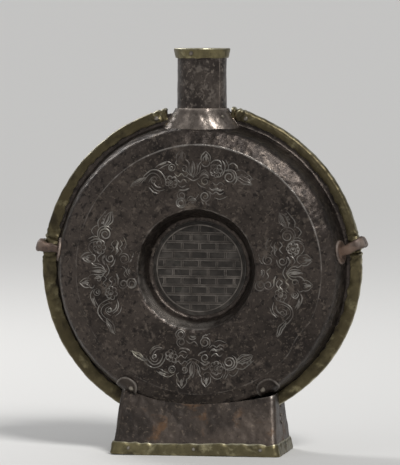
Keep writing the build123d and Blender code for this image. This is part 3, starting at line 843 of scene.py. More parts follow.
# %% Shells
shell_sides = 420
face_dent_angle = math.radians(-33)
face_dent_width = math.radians(7)
face_dent_depth = 0.0036
face_shift_x = 0.0018
face_shift_z = -0.0004
face_shrink = 0.0006
wander_radii = (0.070, 0.099, 0.104, 0.116)
shell_dents = (0.00036, 0.00017, 0.00005)
calm_radii = (0.118, 0.122)
calm_share = 0.8
# Edge wear grows towards the upper right: that extra part is painted highlight, where light catches the
# rounded edges.
painted_edge_highlight_middle = math.radians(67)
painted_edge_highlight_reach = math.radians(70)
edge_wear_and_highlight_width = 0.0010
least_edge_wear = 0.45
painted_edge_highlight = 0.5
well_edge_wear_and_highlight_share = 0.7
# The band on the well's wall at the lower left is painted highlight, a bright crescent where light falls.
painted_wall_highlight_radius = 0.0468
painted_wall_highlight_width = 0.0028
painted_wall_highlight = 0.95
painted_wall_highlight_middle = math.radians(-120)
painted_wall_highlight_reach = math.radians(75)


def turned_from(angles, middle):
    """How far each angle is turned from a middle angle, the shorter way round."""
    return (angles - middle + math.pi) % (2 * math.pi) - math.pi


def face_wander(angles, side):
    """How far the edge of a face runs out of true at each angle."""
    wander = -side * face_shift_x * np.cos(angles) + face_shift_z * np.sin(angles) - face_shrink
    if side < 0:
        wander = wander - face_dent_depth * hump(turned_from(angles, face_dent_angle), 0, face_dent_width)
    return wander


def face_relief(points):
    """How far the shell's skin stands out at each point. The ornament follows the same values."""
    return dents(points, shell_dents)


def shell_wear_and_highlight(radii, angles):
    """Wear on the edges of the face and the well, plus painted highlight towards the upper right and on the
    lower left of the well's wall.
    """
    at_edges = hump(radii, face_radius, edge_wear_and_highlight_width)
    at_edges = at_edges + well_edge_wear_and_highlight_share * hump(radii, well_edge_radius, edge_wear_and_highlight_width)
    more = hump(turned_from(angles, painted_edge_highlight_middle), 0, painted_edge_highlight_reach)
    wall_highlight_band = hump(radii, painted_wall_highlight_radius, painted_wall_highlight_width)
    # Painted highlight: strongest on the lower left of the well's wall, where light falls.
    low = hump(turned_from(angles, painted_wall_highlight_middle), 0, painted_wall_highlight_reach)
    wear = (least_edge_wear + painted_edge_highlight * more) * at_edges + painted_wall_highlight * (wall_highlight_band * low)
    return np.clip(wear, 0, 1)


def shell_skin(side):
    """The outer skin of one shell, and its wear."""
    line = evened(rounded_line(shell_corners, shell_bends), shell_spacing)
    angles = np.linspace(0, 2 * math.pi, shell_sides, endpoint=False)[:, None]
    radii = np.repeat(line[:, 0][None], shell_sides, axis=0)
    depths = np.repeat(line[:, 1][None], shell_sides, axis=0)
    start, full, fading, end = wander_radii
    near_face_edge = eased(radii, start, full) * (1 - eased(radii, fading, end))
    skin = around(radii + face_wander(angles, side) * near_face_edge, depths, angles, side)
    calm = 1 - calm_share * eased(radii, *calm_radii)
    skin = skin + grid_normals(skin, True) * (side * face_relief(skin) * calm)[..., None]
    return swayed(skin), shell_wear_and_highlight(line[:, 0], angles)


neck_way_sides = 96
neck_way_gap = 0.0002
neck_way_length = 0.06


def cut_for_neck(piece):
    """Cuts the round way of the neck through a shell."""
    bpy.ops.mesh.primitive_cylinder_add(
        vertices=neck_way_sides, radius=neck_radius + neck_way_gap, depth=neck_way_length,
        location=(0, 0, neck_low.z + neck_way_length / 2),
    )
    cutter = bpy.context.object
    cut = piece.modifiers.new("neck way", "BOOLEAN")
    cut.operation = "DIFFERENCE"
    cut.solver = "EXACT"
    cut.object = cutter
    bpy.context.view_layer.objects.active = piece
    bpy.ops.object.modifier_apply(modifier=cut.name)
    bpy.data.objects.remove(cutter)


for side, name in ((-1, "front"), (1, "back")):
    skin, wear = shell_skin(side)
    form = sheet_form(skin, sheet, side, wrap_rows=True, wear=wear)
    cut_for_neck(add_piece(f"dished_{name}", [form], iron, "iron", f"{name}_shell"))

# %% [markdown]
# ## Roundels and lattices
#
# The round plate on the well's floor carries raised lines. They are made as ridges: a small section that
# follows a line and stands on the plate. A ridge whose edges stand higher than its middle looks like a
# band chased into a plate.

# %% Ridges on a flat seat
line_section_shares = [(-0.5, -0.6), (-0.32, 0.75), (0.0, 1.0), (0.32, 0.75), (0.5, -0.6)]
band_section_shares = [(-0.5, -0.6), (-0.47, 0.9), (-0.36, 1.0), (-0.25, 0.6),
                       (0.25, 0.6), (0.36, 1.0), (0.47, 0.9), (0.5, -0.6)]
ridge_end_share = 0.35
ridge_taper_share = 0.22
roundel_dents = (0.00012, 0.00008, 0.00002)


def on_body_plane(flat, depths):
    """Points in space from (x, z) places about the body's centre and their places along Y."""
    return np.stack([flat[:, 0], depths, centre_height + flat[:, 1]], axis=-1)


def ridge_form(line, width, height, seat, side, section=line_section_shares, closed=False, taper=True):
    """A low ridge along a line of (x, z) places from the body's centre. The seat gives the depth there."""
    way = np.roll(line, -1, axis=0) - np.roll(line, 1, axis=0) if closed else np.gradient(line, axis=0)
    way = unit(way)
    aside = np.stack([-way[:, 1], way[:, 0]], axis=1)
    count = len(line)
    share = np.ones(count)
    if taper and not closed:
        ends = np.minimum(np.arange(count), np.arange(count)[::-1]) / (count - 1)
        share = ridge_end_share + (1 - ridge_end_share) * eased(ends, 0, ridge_taper_share)
    rows = []
    for across, rise in section:
        flat = line + aside * (across * width * share)[:, None]
        seat_points = on_body_plane(flat, np.full(count, side * face_depth))
        depths = seat(seat_points) + rise * height * (share if rise > 0 else 1)
        rows.append(on_body_plane(flat, side * depths))
    wear = np.repeat(np.array([[max(rise, 0) for across, rise in section]]), count, axis=0)
    return bar_form(swayed(np.stack(rows, axis=1)), closed, wear)


def roundel_seat(points):
    """The depth of the plate's face."""
    return roundel_depth + dents(points, roundel_dents)


# %% Roundels
roundel_sides = 180
roundel_rings = 30
roundel_edge_drop = 0.0005
roundel_edge_width = 0.0006
roundel_wear = 0.7
roundel_wear_width = 0.001


def roundel_form(side):
    """A disc with a softly uneven face and a rounded edge."""
    angles = np.linspace(0, 2 * math.pi, roundel_sides, endpoint=False)[:, None]
    radii = np.linspace(0, roundel_radius, roundel_rings)[None] + 0 * angles
    top = around(radii, face_depth + 0 * radii, angles, side)
    drop = roundel_edge_drop * hump(radii, roundel_radius, roundel_edge_width)
    top[..., 1] = side * (roundel_seat(top) - drop)
    edge = around(roundel_radius + 0 * angles, well_floor_depth, angles, side)
    middle = around(0 * angles, well_floor_depth, angles, side)
    edge_wear = roundel_wear * hump(radii, roundel_radius, roundel_wear_width)
    wear = np.concatenate([edge_wear, 0 * angles, 0 * angles], axis=1)
    return bar_form(swayed(np.concatenate([top, edge, middle], axis=1)), True, wear)


for side, name in ((-1, "front"), (1, "back")):
    add_piece(f"{name}_well_plate", [roundel_form(side)], roundel_iron, "roundel_iron", f"{name}_roundel")

# %% Lattices
lattice_ring_width = 0.0018
lattice_bar_width = 0.0025
lattice_row_pitch = 0.0072
lattice_tie_pitch = 0.0146
lattice_relief = 0.00055
lattice_spacing = 0.0008
lattice_ring_steps = 200


def lattice_lines():
    """Rows of bars with ties between them, set half a pitch over from row to row."""
    inner = lattice_radius - lattice_ring_width
    rows = int(lattice_radius / lattice_row_pitch)
    ties = int(lattice_radius / lattice_tie_pitch) + 1
    lines = []
    for row in range(-rows, rows + 1):
        height = row * lattice_row_pitch
        half = math.sqrt(max(inner**2 - height**2, 0))
        lines.append(((-half, height), (half, height)))
    for row in range(-rows - 1, rows + 1):
        low = row * lattice_row_pitch + lattice_bar_width / 2
        high = (row + 1) * lattice_row_pitch - lattice_bar_width / 2
        for tie in range(-ties, ties + 1):
            across = (tie + (row % 2) / 2) * lattice_tie_pitch
            end = math.sqrt(max(inner**2 - across**2, 0))
            bottom, top = max(low, -end), min(high, end)
            if top - bottom > lattice_bar_width:
                lines.append(((across, bottom), (across, top)))
    return lines


def lattice_forms(side):
    """The ring and the bars of one lattice."""
    turn = np.linspace(0, 2 * math.pi, lattice_ring_steps, endpoint=False)
    ring = np.stack([np.cos(turn), np.sin(turn)], axis=1) * (lattice_radius - lattice_ring_width / 2)
    forms = [ridge_form(ring, lattice_ring_width, lattice_relief, roundel_seat, side, closed=True)]
    for ends in lattice_lines():
        line = evened(np.array(ends, float), lattice_spacing)
        forms.append(ridge_form(line, lattice_bar_width, lattice_relief, roundel_seat, side,
                                section=band_section_shares, taper=False))
    return forms


for side, name in ((-1, "front"), (1, "back")):
    add_piece(f"{name}_raised_lattice", lattice_forms(side), lattice_iron, "lattice_iron", f"{name}_lattice")

# %% [markdown]
# ## The floral sprays
#
# Four sprays of scrolling vines, curls, leaves and small flowers lie on each face: a common pattern,
# drawn with thin silver lines hammered into the iron. One spray is a table of lines, curls, rings,
# flowers, arches and leaves, in millimetres, first sideways and then outwards from its middle. A fill is
# a broad worn petal or leaf: its width and its middle line. Four turned and varied copies go round each
# face. A texture could draw them too, but real lines catch the light from every side.

# %% Strokes
spray_line_width = 0.00098
spray_line_height = 0.00022
mm = 0.001
steps_in_a_turn = 26
fewest_steps = 6


def curl(middle, radius, start, turns, inner_share=0.3):
    """A spiral that winds in towards its middle. The start is an angle in degrees."""
    share = np.linspace(0, 1, max(int(abs(turns) * steps_in_a_turn), fewest_steps))
    angle = math.radians(start) + share * turns * 2 * math.pi
    reach = radius * (1 - (1 - inner_share) * share)
    return np.stack([middle[0] + reach * np.cos(angle), middle[1] + reach * np.sin(angle)], axis=1)


def ring(middle, radius):
    """A closed circle."""
    return curl(middle, radius, 0, 1, 1)


def flowing(*places, steps=9):
    """A smooth line through places, as a Catmull-Rom spline."""
    spots = np.array([places[0], *places, places[-1]], float)
    line = []
    for a, b, c, d in zip(spots, spots[1:], spots[2:], spots[3:]):
        for share in np.linspace(0, 1, steps, endpoint=False):
            square_part = (2 * a - 5 * b + 4 * c - d) * share**2
            cube_part = (3 * b - a - 3 * c + d) * share**3
            line.append((2 * b + (c - a) * share + square_part + cube_part) / 2)
    line.append(spots[-1])
    return np.array(line)


flower_ring_shares = (0.42, 0.16)
petal_place_share = 0.72
petal_size_share = 0.38
petal_opening = 250
arch_shares = (1, 0.55)
arch_side_share = 0.95
leaf_wave_shares = [(0, 0), (0.25, 0.5), (0.5, -0.1), (0.75, 0.5), (1, 0)]


def flower(middle, radius, petals):
    """A ring of small rounded petals about two rings."""
    strokes = [ring(middle, radius * share) for share in flower_ring_shares]
    for petal in range(petals):
        angle = 2 * math.pi * petal / petals
        reach = radius * petal_place_share
        place = (middle[0] + reach * math.cos(angle), middle[1] + reach * math.sin(angle))
        start = math.degrees(angle) - petal_opening / 2
        strokes.append(curl(place, radius * petal_size_share, start, petal_opening / 360, 1))
    return strokes


def arch(middle, half_width, height):
    """A pointed arch of two leaning curves, with a smaller one inside it."""
    x, y = middle
    strokes = []
    for share in arch_shares:
        for wide in (-half_width * share, half_width * share):
            tall = height * share
            strokes.append(flowing((x + wide, y), (x + wide * arch_side_share, y + tall / 2), (x, y + tall)))
    return strokes


def leaf(start, end, bulge, lines):
    """A long pointed leaf with veins that follow its outline."""
    start, end = np.array(start, float), np.array(end, float)
    along = end - start
    aside = np.array([-along[1], along[0]]) / np.linalg.norm(along)
    strokes = []
    for share in np.linspace(-1, 1, lines):
        places = [start + along * part + aside * (bulge * share * math.sin(math.pi * part) + wave)
                  for part, wave in leaf_wave_shares]
        strokes.append(flowing(*places))
    return strokes


# %% The drawing of one spray
spray_drawing = [
    ("leaf", (-54, -9), (-41, -1.5), 2.2, 4),
    ("line", (-45, -3), (-42.7, 0.5), (-37, 4.4), (-31, 3.4), (-26.8, -1.6), (-25.1, -7)),
    ("line", (-42, -4.5), (-40, -0.8), (-36, 2.2), (-31.6, 1), (-28.8, -3), (-28, -7)),
    ("line", (-39, -5.4), (-36.5, -1.5), (-33.4, -1), (-31.5, -4)),
    ("curl", (-34.8, -4.6), 2.2, 90, 1.2),
    ("line", (-37.7, -7.4), (-35, -10.8), (-31, -12.3), (-26, -11)),
    ("line", (-36, -6), (-33, -9.5), (-29, -10.4)),
    ("line", (-39, -9), (-35.6, -13), (-31, -14.6)),
    ("line", (-33, 6.5), (-29, 9.5), (-23, 11.5), (-18, 9)),
    ("line", (-31, 5), (-26, 7.8), (-22.5, 8.8)),
    ("ring", (-20, 5.9), 2.7),
    ("ring", (-20, 5.9), 1.2),
    ("flower", (-20.6, -5.6), 4.6, 7),
    ("line", (-18, 1.6), (-15, -1.4), (-12, 1), (-9, -1.6), (-6, 1)),
    ("line", (-16, -3), (-13, -6), (-10, -3.6), (-7, -6.6)),
    ("line", (-15, -7.4), (-11.6, -9.6), (-8, -8)),
    ("curl", (-9.5, 5.5), 3.0, 120, -1.2),
    ("arch", (-12.2, 12.2), 3.9, 8.6),
    ("arch", (8.4, 11.6), 3.9, 8.4),
    ("line", (-9, 14), (-6, 11.5), (-5, 8)),
    ("line", (-15.5, 13), (-16.8, 10), (-14.5, 8.2)),
    ("curl", (8.4, 10.6), 3.4, 190, 0.5, 1),
    ("line", (4.5, 12), (2.4, 9.6), (1.6, 6.5)),
    ("line", (-2.5, -1.6), (-7.4, 2.4), (-8.6, 8.4)),
    ("line", (-2.5, -1.6), (-5.4, 3.6), (-5, 10.4)),
    ("line", (-2.5, -1.6), (-4, 5), (-2.4, 12)),
    ("line", (-2.5, -1.6), (-1, 5), (-2.4, 12)),
    ("line", (-2.5, -1.6), (0.6, 3.6), (0.2, 10.4)),
    ("line", (-2.5, -1.6), (2.6, 2.4), (4, 8.2)),
    ("line", (-8, -1), (-2.5, -4), (3.6, -1.4)),
    ("line", (4, 3.4), (7, 5.6), (10, 4), (12, 1)),
    ("line", (4, 0), (7.4, 2.6), (10.6, 0.4)),
    ("curl", (8, -4.6), 3.8, 40, 1.3),
    ("line", (1, -5.4), (3.6, -8), (8, -9.4)),
    ("flower", (17, 4.2), 5.0, 8),
    ("line", (12, 9.6), (15.6, 12.6), (20, 12), (22, 8.4)),
    ("line", (22, 12.6), (24.4, 8), (23.8, 3.4), (21.6, -0.6)),
    ("line", (24, 13), (26.4, 8), (25.6, 4.6)),
    ("curl", (28, -0.8), 5.2, 120, -1.7),
    ("curl", (28, -0.8), 6.4, 150, -0.6, 1),
    ("line", (27, 8.6), (30.6, 10.8), (34, 8.4), (35.6, 5)),
    ("leaf", (33, -0.8), (47, -7), 3.2, 5),
    ("line", (33.6, 4), (39, 5), (44, 1.4), (48.6, -2.6)),
    ("ring", (38, 1.2), 0.7),
    ("ring", (40.6, 0.3), 0.7),
    ("ring", (43.2, -0.6), 0.7),
    ("ring", (45.8, -1.5), 0.7),
    ("ring", (-12.6, -22.6), 3.9),
    ("ring", (-12.6, -22.6), 2.3),
    ("curl", (-12.6, -16), 4.0, 100, 1.5),
    ("curl", (7.5, -16.8), 4.9, 70, -1.7),
    ("line", (-8, -19), (-5, -16.4), (-1, -18), (2, -14.6)),
    ("line", (5, -20.6), (6.4, -23)),
    ("line", (6.8, -21.7), (8.3, -23.3)),
    ("line", (8.6, -22.8), (10.2, -23.6)),
    ("line", (10.4, -23.9), (12.1, -23.9)),
    ("curl", (-2.5, -23), 1.3, 30, 0.34, 1),
    ("curl", (-2.5, -23), 2.5, 30, 0.34, 1),
    ("curl", (-2.5, -23), 3.7, 30, 0.34, 1),
    ("line", (11, -9), (14, -11.4), (17, -9.4), (20, -11.6), (23, -10)),
    ("line", (11, -12), (14, -14.4), (17, -12.6), (20, -14.6), (23.6, -13)),
    ("line", (13, -5), (16.4, -7.6), (20, -5.4), (23, -7.8)),
    ("line", (15, -17), (20, -18.4), (26, -16)),
]
spray_fills = [
    (2.6, (-12.2, 13), (-12.2, 19)),
    (2.4, (8.4, 12.4), (8.4, 18)),
    (1.6, (-30.6, 7.6), (-27.6, 8.8), (-24.6, 9.6)),
    (1.8, (-2.5, 2), (-2.5, 9.6)),
    (1.5, (3, -1), (7, 1.2), (11, -1.4)),
    (1.5, (12.6, -10.4), (16, -10.6), (21, -11)),
    (1.5, (-14, -11.6), (-9, -11.6), (-5, -10)),
]
print(len(spray_drawing), "rows in the drawing and", len(spray_fills), "fills")


# %% Four sprays round a face
stroke_makers = {"line": flowing, "curl": curl, "ring": ring}
pattern_makers = {"flower": flower, "arch": arch, "leaf": leaf}
spray_middle_radius = 0.0765
spray_turns = {"top": 0.0, "right": 90.0, "bottom": 180.0, "left": 270.0}
spray_flips = {"top": 1, "right": -1, "bottom": -1, "left": 1}
stroke_jitter = 0.00035
stroke_spacing = 0.0007
fill_height_share = 0.6
line_width_shares = (0.7, 1.3)
line_height_shares = (0.6, 1.2)
spray_seed = 40


def spray_strokes():
    """The thin strokes of one spray, in the order of its drawing."""
    strokes = []
    for kind, *sizes in spray_drawing:
        if kind in pattern_makers:
            strokes += pattern_makers[kind](*sizes)
        else:
            strokes.append(stroke_makers[kind](*sizes))
    return strokes


def face_seat(points):
    """The depth of the shell's skin with its dents, so the silver follows them."""
    radii = np.hypot(points[..., 0], points[..., 2] - centre_height)
    return np.interp(radii, skin_line[:, 0], skin_line[:, 1]) + face_relief(points)


def placed_stroke(stroke, place, side, draw):
    """A stroke of a spray in the body's own plane, in metres, with a small shift of its own."""
    angle = math.radians(spray_turns[place])
    across = stroke[:, 0] * mm * spray_flips[place] * -side + draw.normal() * stroke_jitter
    outward = spray_middle_radius + stroke[:, 1] * mm + draw.normal() * stroke_jitter
    x = across * math.cos(angle) + outward * math.sin(angle)
    z = outward * math.cos(angle) - across * math.sin(angle)
    return evened(np.stack([x, z], axis=1), stroke_spacing)


def spray_forms(side):
    """Four sprays round one face, each with its own small unevenness."""
    draw = np.random.default_rng(spray_seed + side)
    forms = []
    for place in spray_turns:
        for stroke in spray_strokes():
            line = placed_stroke(stroke, place, side, draw)
            width = spray_line_width * draw.uniform(*line_width_shares)
            height = spray_line_height * draw.uniform(*line_height_shares)
            forms.append(ridge_form(line, width, height, face_seat, side))
        for width, *places in spray_fills:
            line = placed_stroke(flowing(*places), place, side, draw)
            forms.append(ridge_form(line, width * mm, spray_line_height * fill_height_share, face_seat, side))
    return forms


for side, name in ((-1, "front"), (1, "back")):
    add_piece(f"{name}_silver_sprays", spray_forms(side), silver_line, "lattice_iron")

# %% [markdown]
# ## The brass edging
#
# Each strip is brass sheet folded over the rim like a book's binding and dressed down with a mallet. Its
# outer nose is round and rubbed bright, its inner edge wanders, and its ends are crumpled where they meet
# the collar and the foot. The section is one line from the front edge over the nose to the back edge. The
# rows of the grid are that section at each angle, and tables of offsets by angle make it run out of true
# as it does on the photograph.

# %% Strips
nose_bend = 0.0034
strip_spacing = math.radians(0.4)
strip_flat_steps = 9
strip_crown = 0.00035
strip_sheet = 0.0012
strip_dents = (0.00018, 0.00013, 0.00005)
strip_edge_wave = 0.0005
strip_edge_grit = 0.0003
nose_steps = 8
outer_offsets = [(-180, 1.2), (-165, 0.8), (-125, 0.8), (-100, 0.0), (-70, -1.5), (-55, -2.2), (-45, -1.8),
                 (-30, -0.8), (-10, 0.5), (3, 1.0), (20, 0.2), (30, 0.0), (50, 0.0), (65, 0.5), (75, 1.6),
                 (105, 1.6), (115, 0.5), (130, 0.0), (160, 0.4), (180, 1.2)]
inner_radii = [(-180, 122.2), (-125, 122.5), (-100, 121.5), (-55, 121.0), (-40, 121.5), (-20, 122.8),
               (0, 124.5), (25, 125.0), (40, 124.7), (60, 125.5), (80, 125.0), (100, 125.0), (115, 124.5),
               (130, 125.0), (150, 124.5), (175, 122.0), (180, 122.2)]
strip_joint_rise = 0.0183
strip_joint_angle = math.degrees(math.asin(strip_joint_rise / rim_radius))
strip_joint_gap = 0.17
strip_ends = {
    "upper_right": (strip_joint_angle + strip_joint_gap, 79.0),
    "upper_left": (103.0, 180 - strip_joint_angle - strip_joint_gap),
    "lower_right": (-67.5, strip_joint_angle - strip_joint_gap),
    "lower_left": (180 - strip_joint_angle + strip_joint_gap, 247.5),
}
crumple_reach = 0.011
crumple_depth = 0.0011
fold_pitch = 0.0052
fold_wander = 1.6
fold_share = 0.7
crush_share = 0.5
nose_wear = 0.75
nose_wear_share = 0.16
crumple_wear = 0.35


def from_table(table, angles):
    """Values at angles in radians, from pairs of degrees and millimetres."""
    degrees = (np.degrees(angles) + 180) % 360 - 180
    places, values = zip(*table)
    return np.interp(degrees, places, values) * mm


def strip_sections(angles, outer, inner):
    """The line of a strip at each angle: over the front, round the nose and over the back."""
    corners = [(-nose_bend, edging_depth), (0, edging_depth), (0, -edging_depth), (-nose_bend, -edging_depth)]
    nose = rounded_line(corners, [nose_bend, nose_bend], nose_steps)[1:-1]
    crown = strip_crown * np.sin(np.linspace(0, math.pi, strip_flat_steps, endpoint=False))
    rows = []
    for angle, outer_here, inner_here in zip(angles, outer, inner):
        reach = np.linspace(inner_here, outer_here - nose_bend, strip_flat_steps, endpoint=False)
        flat = np.stack([reach, edging_depth + crown], axis=1)
        line = np.concatenate([flat, nose + np.array([outer_here, 0]), flat[::-1] * np.array([1, -1])])
        rows.append(around(line[:, 0], line[:, 1], angle + 0 * line[:, 0], -1))
    return np.array(rows)


def strip_skin(start, end):
    """The skin of one strip from its start to its end, in degrees, and its wear."""
    count = int(math.radians(end - start) / strip_spacing) + 1
    angles = np.linspace(math.radians(start), math.radians(end), count)
    outer = rim_radius + from_table(outer_offsets, angles)
    inner = from_table(inner_radii, angles)
    inner_edge = around(inner, edging_depth + 0 * inner, angles, -1)
    inner = inner + strip_edge_wave * fold_waves(inner_edge) + strip_edge_grit * fine_dents(inner_edge)
    skin = strip_sections(angles, outer, inner)
    normals = -grid_normals(skin, False)
    gaps = np.minimum(angles - angles[0], angles[-1] - angles) * rim_radius
    folds = np.sin(gaps[:, None] / fold_pitch * 2 * math.pi + fold_wander * fold_waves(skin))
    crumple = hump(gaps, 0, crumple_reach)[:, None] * (fold_share * folds + crush_share * fold_waves(skin))
    push = dents(skin, strip_dents) + crumple_depth * crumple
    share = np.linspace(0, 1, skin.shape[1])[None]
    wear = nose_wear * hump(share, 1 / 2, nose_wear_share) + crumple_wear * np.abs(crumple)
    return swayed(skin + normals * push[..., None]), np.clip(wear, 0, 1)


for name, (start, end) in strip_ends.items():
    skin, wear = strip_skin(start, end)
    add_piece(f"brass_edging_{name}", [sheet_form(skin, strip_sheet, -1, wear=wear)], edging_brass, "brass",
              f"rim_strip_{name}")

# The braze keeps its CAD shape, since the strips hide it, and only takes the brass.
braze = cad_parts["seam_braze"].data
braze.materials.clear()
braze.materials.append(brass)

# %% [markdown]
# ## Neck, collar and lip
#
# The neck is a rolled tube with a lapped seam. The collar is a flared skirt whose lower edge is cut to
# the body: for each direction round the neck, the flare runs down until it meets the body. The brass lip
# is a flared ring with a flat top.

# %% Neck
neck_sides = 200
neck_rows = 50
neck_sheet = 0.0013
neck_seam_angle = math.radians(-38)
neck_lap_width = 0.9
neck_lap_height = 0.0004
neck_dents = (0.00030, 0.00012, 0.00004)
neck_seam_wear = 0.8
neck_seam_wear_middle = 0.02
neck_seam_wear_width = 0.03


def neck_form():
    """A tube whose radius steps at the lapped seam."""
    angles = np.linspace(0, 2 * math.pi, neck_sides, endpoint=False)[:, None]
    heights = np.linspace(neck_low.z, neck_high.z, neck_rows)[None] + 0 * angles
    past_seam = (angles - neck_seam_angle) % (2 * math.pi)
    radii = neck_radius - neck_lap_height * eased(past_seam, 0, neck_lap_width) + 0 * heights
    skin = np.stack([radii * np.cos(angles), radii * np.sin(angles), heights], axis=-1)
    skin = skin + grid_normals(skin, True) * dents(skin, neck_dents)[..., None]
    wear = neck_seam_wear * hump(past_seam, neck_seam_wear_middle, neck_seam_wear_width) + 0 * heights
    return sheet_form(swayed(skin), neck_sheet, 1, wrap_rows=True, wear=wear)


add_piece("rolled_neck", [neck_form()], neck_iron, "iron", "neck_tube")

# %% Collar
collar_sides = 260
collar_rows = 26
collar_tries = 120
collar_sheet = 0.0011
collar_stand = 0.0013
collar_top_radius = neck_radius + collar_stand
collar_run = 0.017
collar_flare_width = 0.0119
collar_flare_depth = 0.0039
collar_flare_power = 1.25
shortest_collar_share = 0.12
collar_gap = 0.0001
collar_dents = (0.00020, 0.00015, 0.00004)
# The even collar value is partly rubbed wear and partly painted sheen that lightens the whole skirt like a
# reflection.
collar_wear_and_sheen = 0.55
collar_edge_wear = 0.4
collar_edge_share = 0.06


def collar_point(angles, shares):
    """A point on the collar's skin at an angle round the neck, a share of the way down it."""
    flare = shares**collar_flare_power
    half_width = collar_top_radius + collar_flare_width * flare
    half_depth = collar_top_radius + collar_flare_depth * flare
    return np.stack([half_width * np.cos(angles), half_depth * np.sin(angles),
                     collar_high.z - collar_run * shares + 0 * angles], axis=-1)


def collar_form():
    """A skirt that runs down, in each direction, until it meets the body."""
    angles = np.linspace(0, 2 * math.pi, collar_sides, endpoint=False)[:, None]
    tries = np.linspace(shortest_collar_share, 1, collar_tries)
    blocked = inside_body(collar_point(angles, tries[None] + 0 * angles), collar_gap)
    stop = np.where(blocked.any(axis=1), np.argmax(blocked, axis=1), collar_tries - 1)
    down = np.linspace(0, 1, collar_rows)[None]
    skin = collar_point(angles + 0 * down, tries[stop][:, None] * down)
    skin = skin - grid_normals(skin, True) * dents(skin, collar_dents)[..., None]
    # An even painted sheen with rubbed wear, and more wear at the top edge.
    wear = collar_wear_and_sheen + collar_edge_wear * hump(down, 0, collar_edge_share) + 0 * angles
    return sheet_form(swayed(skin), collar_sheet, -1, wrap_rows=True, wear=wear)


add_piece("flared_collar", [collar_form()], neck_iron, "iron", "neck_collar")

# %% Lip band
lip_sides = 200
lip_stand = 0.0013
lip_bottom_radius = neck_radius + lip_stand
lip_cover = 0.0014
lip_bore = neck_radius - lip_cover
lip_cap = 0.001
lip_bends = [0.0003, 0.0008, 0.0003, 0.0002]
lip_bend_steps = 5
lip_spacing = 0.0006
lip_dents = (0.00015, 0.00022, 0.00006)
lip_shrink = 0.0002
lip_fade = 0.001
lip_low_edge = 0.002
lip_low_wave = 0.0004
lip_wear = 0.9
lip_wear_width = 0.0012


def lip_form():
    """A flared brass ring: its bore, its flat top, its flared skin and its seat on the neck."""
    corners = [(lip_bore, lip_high.z - lip_cap), (lip_bore, lip_high.z), (lip_high.x, lip_high.z),
               (lip_bottom_radius, lip_low.z), (neck_radius, lip_low.z), (neck_radius, lip_high.z - lip_cap)]
    line = evened(rounded_line(corners, lip_bends, lip_bend_steps), lip_spacing)
    angles = np.linspace(0, 2 * math.pi, lip_sides, endpoint=False)[:, None]
    radii = line[:, 0][None] + 0 * angles
    heights = line[:, 1][None] + 0 * angles
    ring_points = np.stack([radii * np.cos(angles), radii * np.sin(angles), heights], axis=-1)
    out = np.stack([np.cos(angles) + 0 * heights, np.sin(angles) + 0 * heights, 0 * heights], axis=-1)
    outer = eased(radii, neck_radius, neck_radius + lip_fade)
    push = (dents(ring_points, lip_dents) - lip_shrink) * outer
    low = 1 - eased(heights, lip_low.z, lip_low.z + lip_low_edge)
    ring_points[..., 2] += low * outer * lip_low_wave * hammer_dents(ring_points)
    wear = lip_wear * hump(heights, lip_high.z, lip_wear_width) * outer
    return bar_form(swayed(ring_points + out * push[..., None]), True, wear)


add_piece("brass_lip", [lip_form()], brass, "brass", "lip_band")

# %% [markdown]
# ## Strap lugs
#
# Each lug is a bar bent round the rim, with its two ends let into dished washers on the walls. A sweep
# along the bent middle line keeps its corners soft, and a table of sizes along the line makes the left
# one swell at its bend, as the photograph shows.

# %% Lugs
lug_rise = 0.014
lug_thickness = 0.0048
lug_height = 0.0090
lug_half_span = 0.0135
lug_bend = 0.0052
lug_let_in = 0.002
lug_bend_steps = 10
lug_spacing = 0.0007
lug_section_steps = 20
lug_squareness = 0.7
lug_lump_shares = (0.10, 0.05)
lug_least_wear = 0.3
lug_more_wear = 1.8
lug_wear_share = 0.3
right_lug_tilt = math.radians(25.0)
left_lug_tilt = math.radians(9.0)
right_thickness_shares = (0.9, 1, 1, 1, 0.9)
right_height_shares = (0.8, 0.95, 1, 0.95, 0.8)
left_thickness_shares = (0.8, 1.15, 1, 1.15, 0.8)
left_height_shares = (0.5, 1.0, 1.15, 1.0, 0.5)
wall_share = (lug_half_span - flange_depth) / (shoulder_depth - flange_depth)
lug_wall_radius = wall_foot_radius + (shoulder_radius - wall_foot_radius) * wall_share
lug_root_x = math.sqrt(lug_wall_radius**2 - lug_rise**2)


def lug_path(reach, tilt):
    """The middle line of a bar in its own tilted plane: first outwards, then along Y."""
    corner = (lug_thickness * math.cos(tilt) + lug_height * math.sin(tilt)) / 2
    bar_reach = (reach - corner - lug_root_x) / math.cos(tilt)
    corners = [(-lug_let_in, -lug_half_span), (bar_reach, -lug_half_span), (bar_reach, lug_half_span),
               (-lug_let_in, lug_half_span)]
    return evened(rounded_line(corners, [lug_bend, lug_bend], lug_bend_steps), lug_spacing)


def lug_section():
    """The section of a bar with soft corners, one wide and one high."""
    turn = np.linspace(0, 2 * math.pi, lug_section_steps, endpoint=False)
    return [np.sign(part) * np.abs(part) ** lug_squareness / 2 for part in (np.cos(turn), np.sin(turn))]


def from_shares(share, shares):
    """Values at places along a line, from shares at even places."""
    return np.interp(share, np.linspace(0, 1, len(shares)), shares)


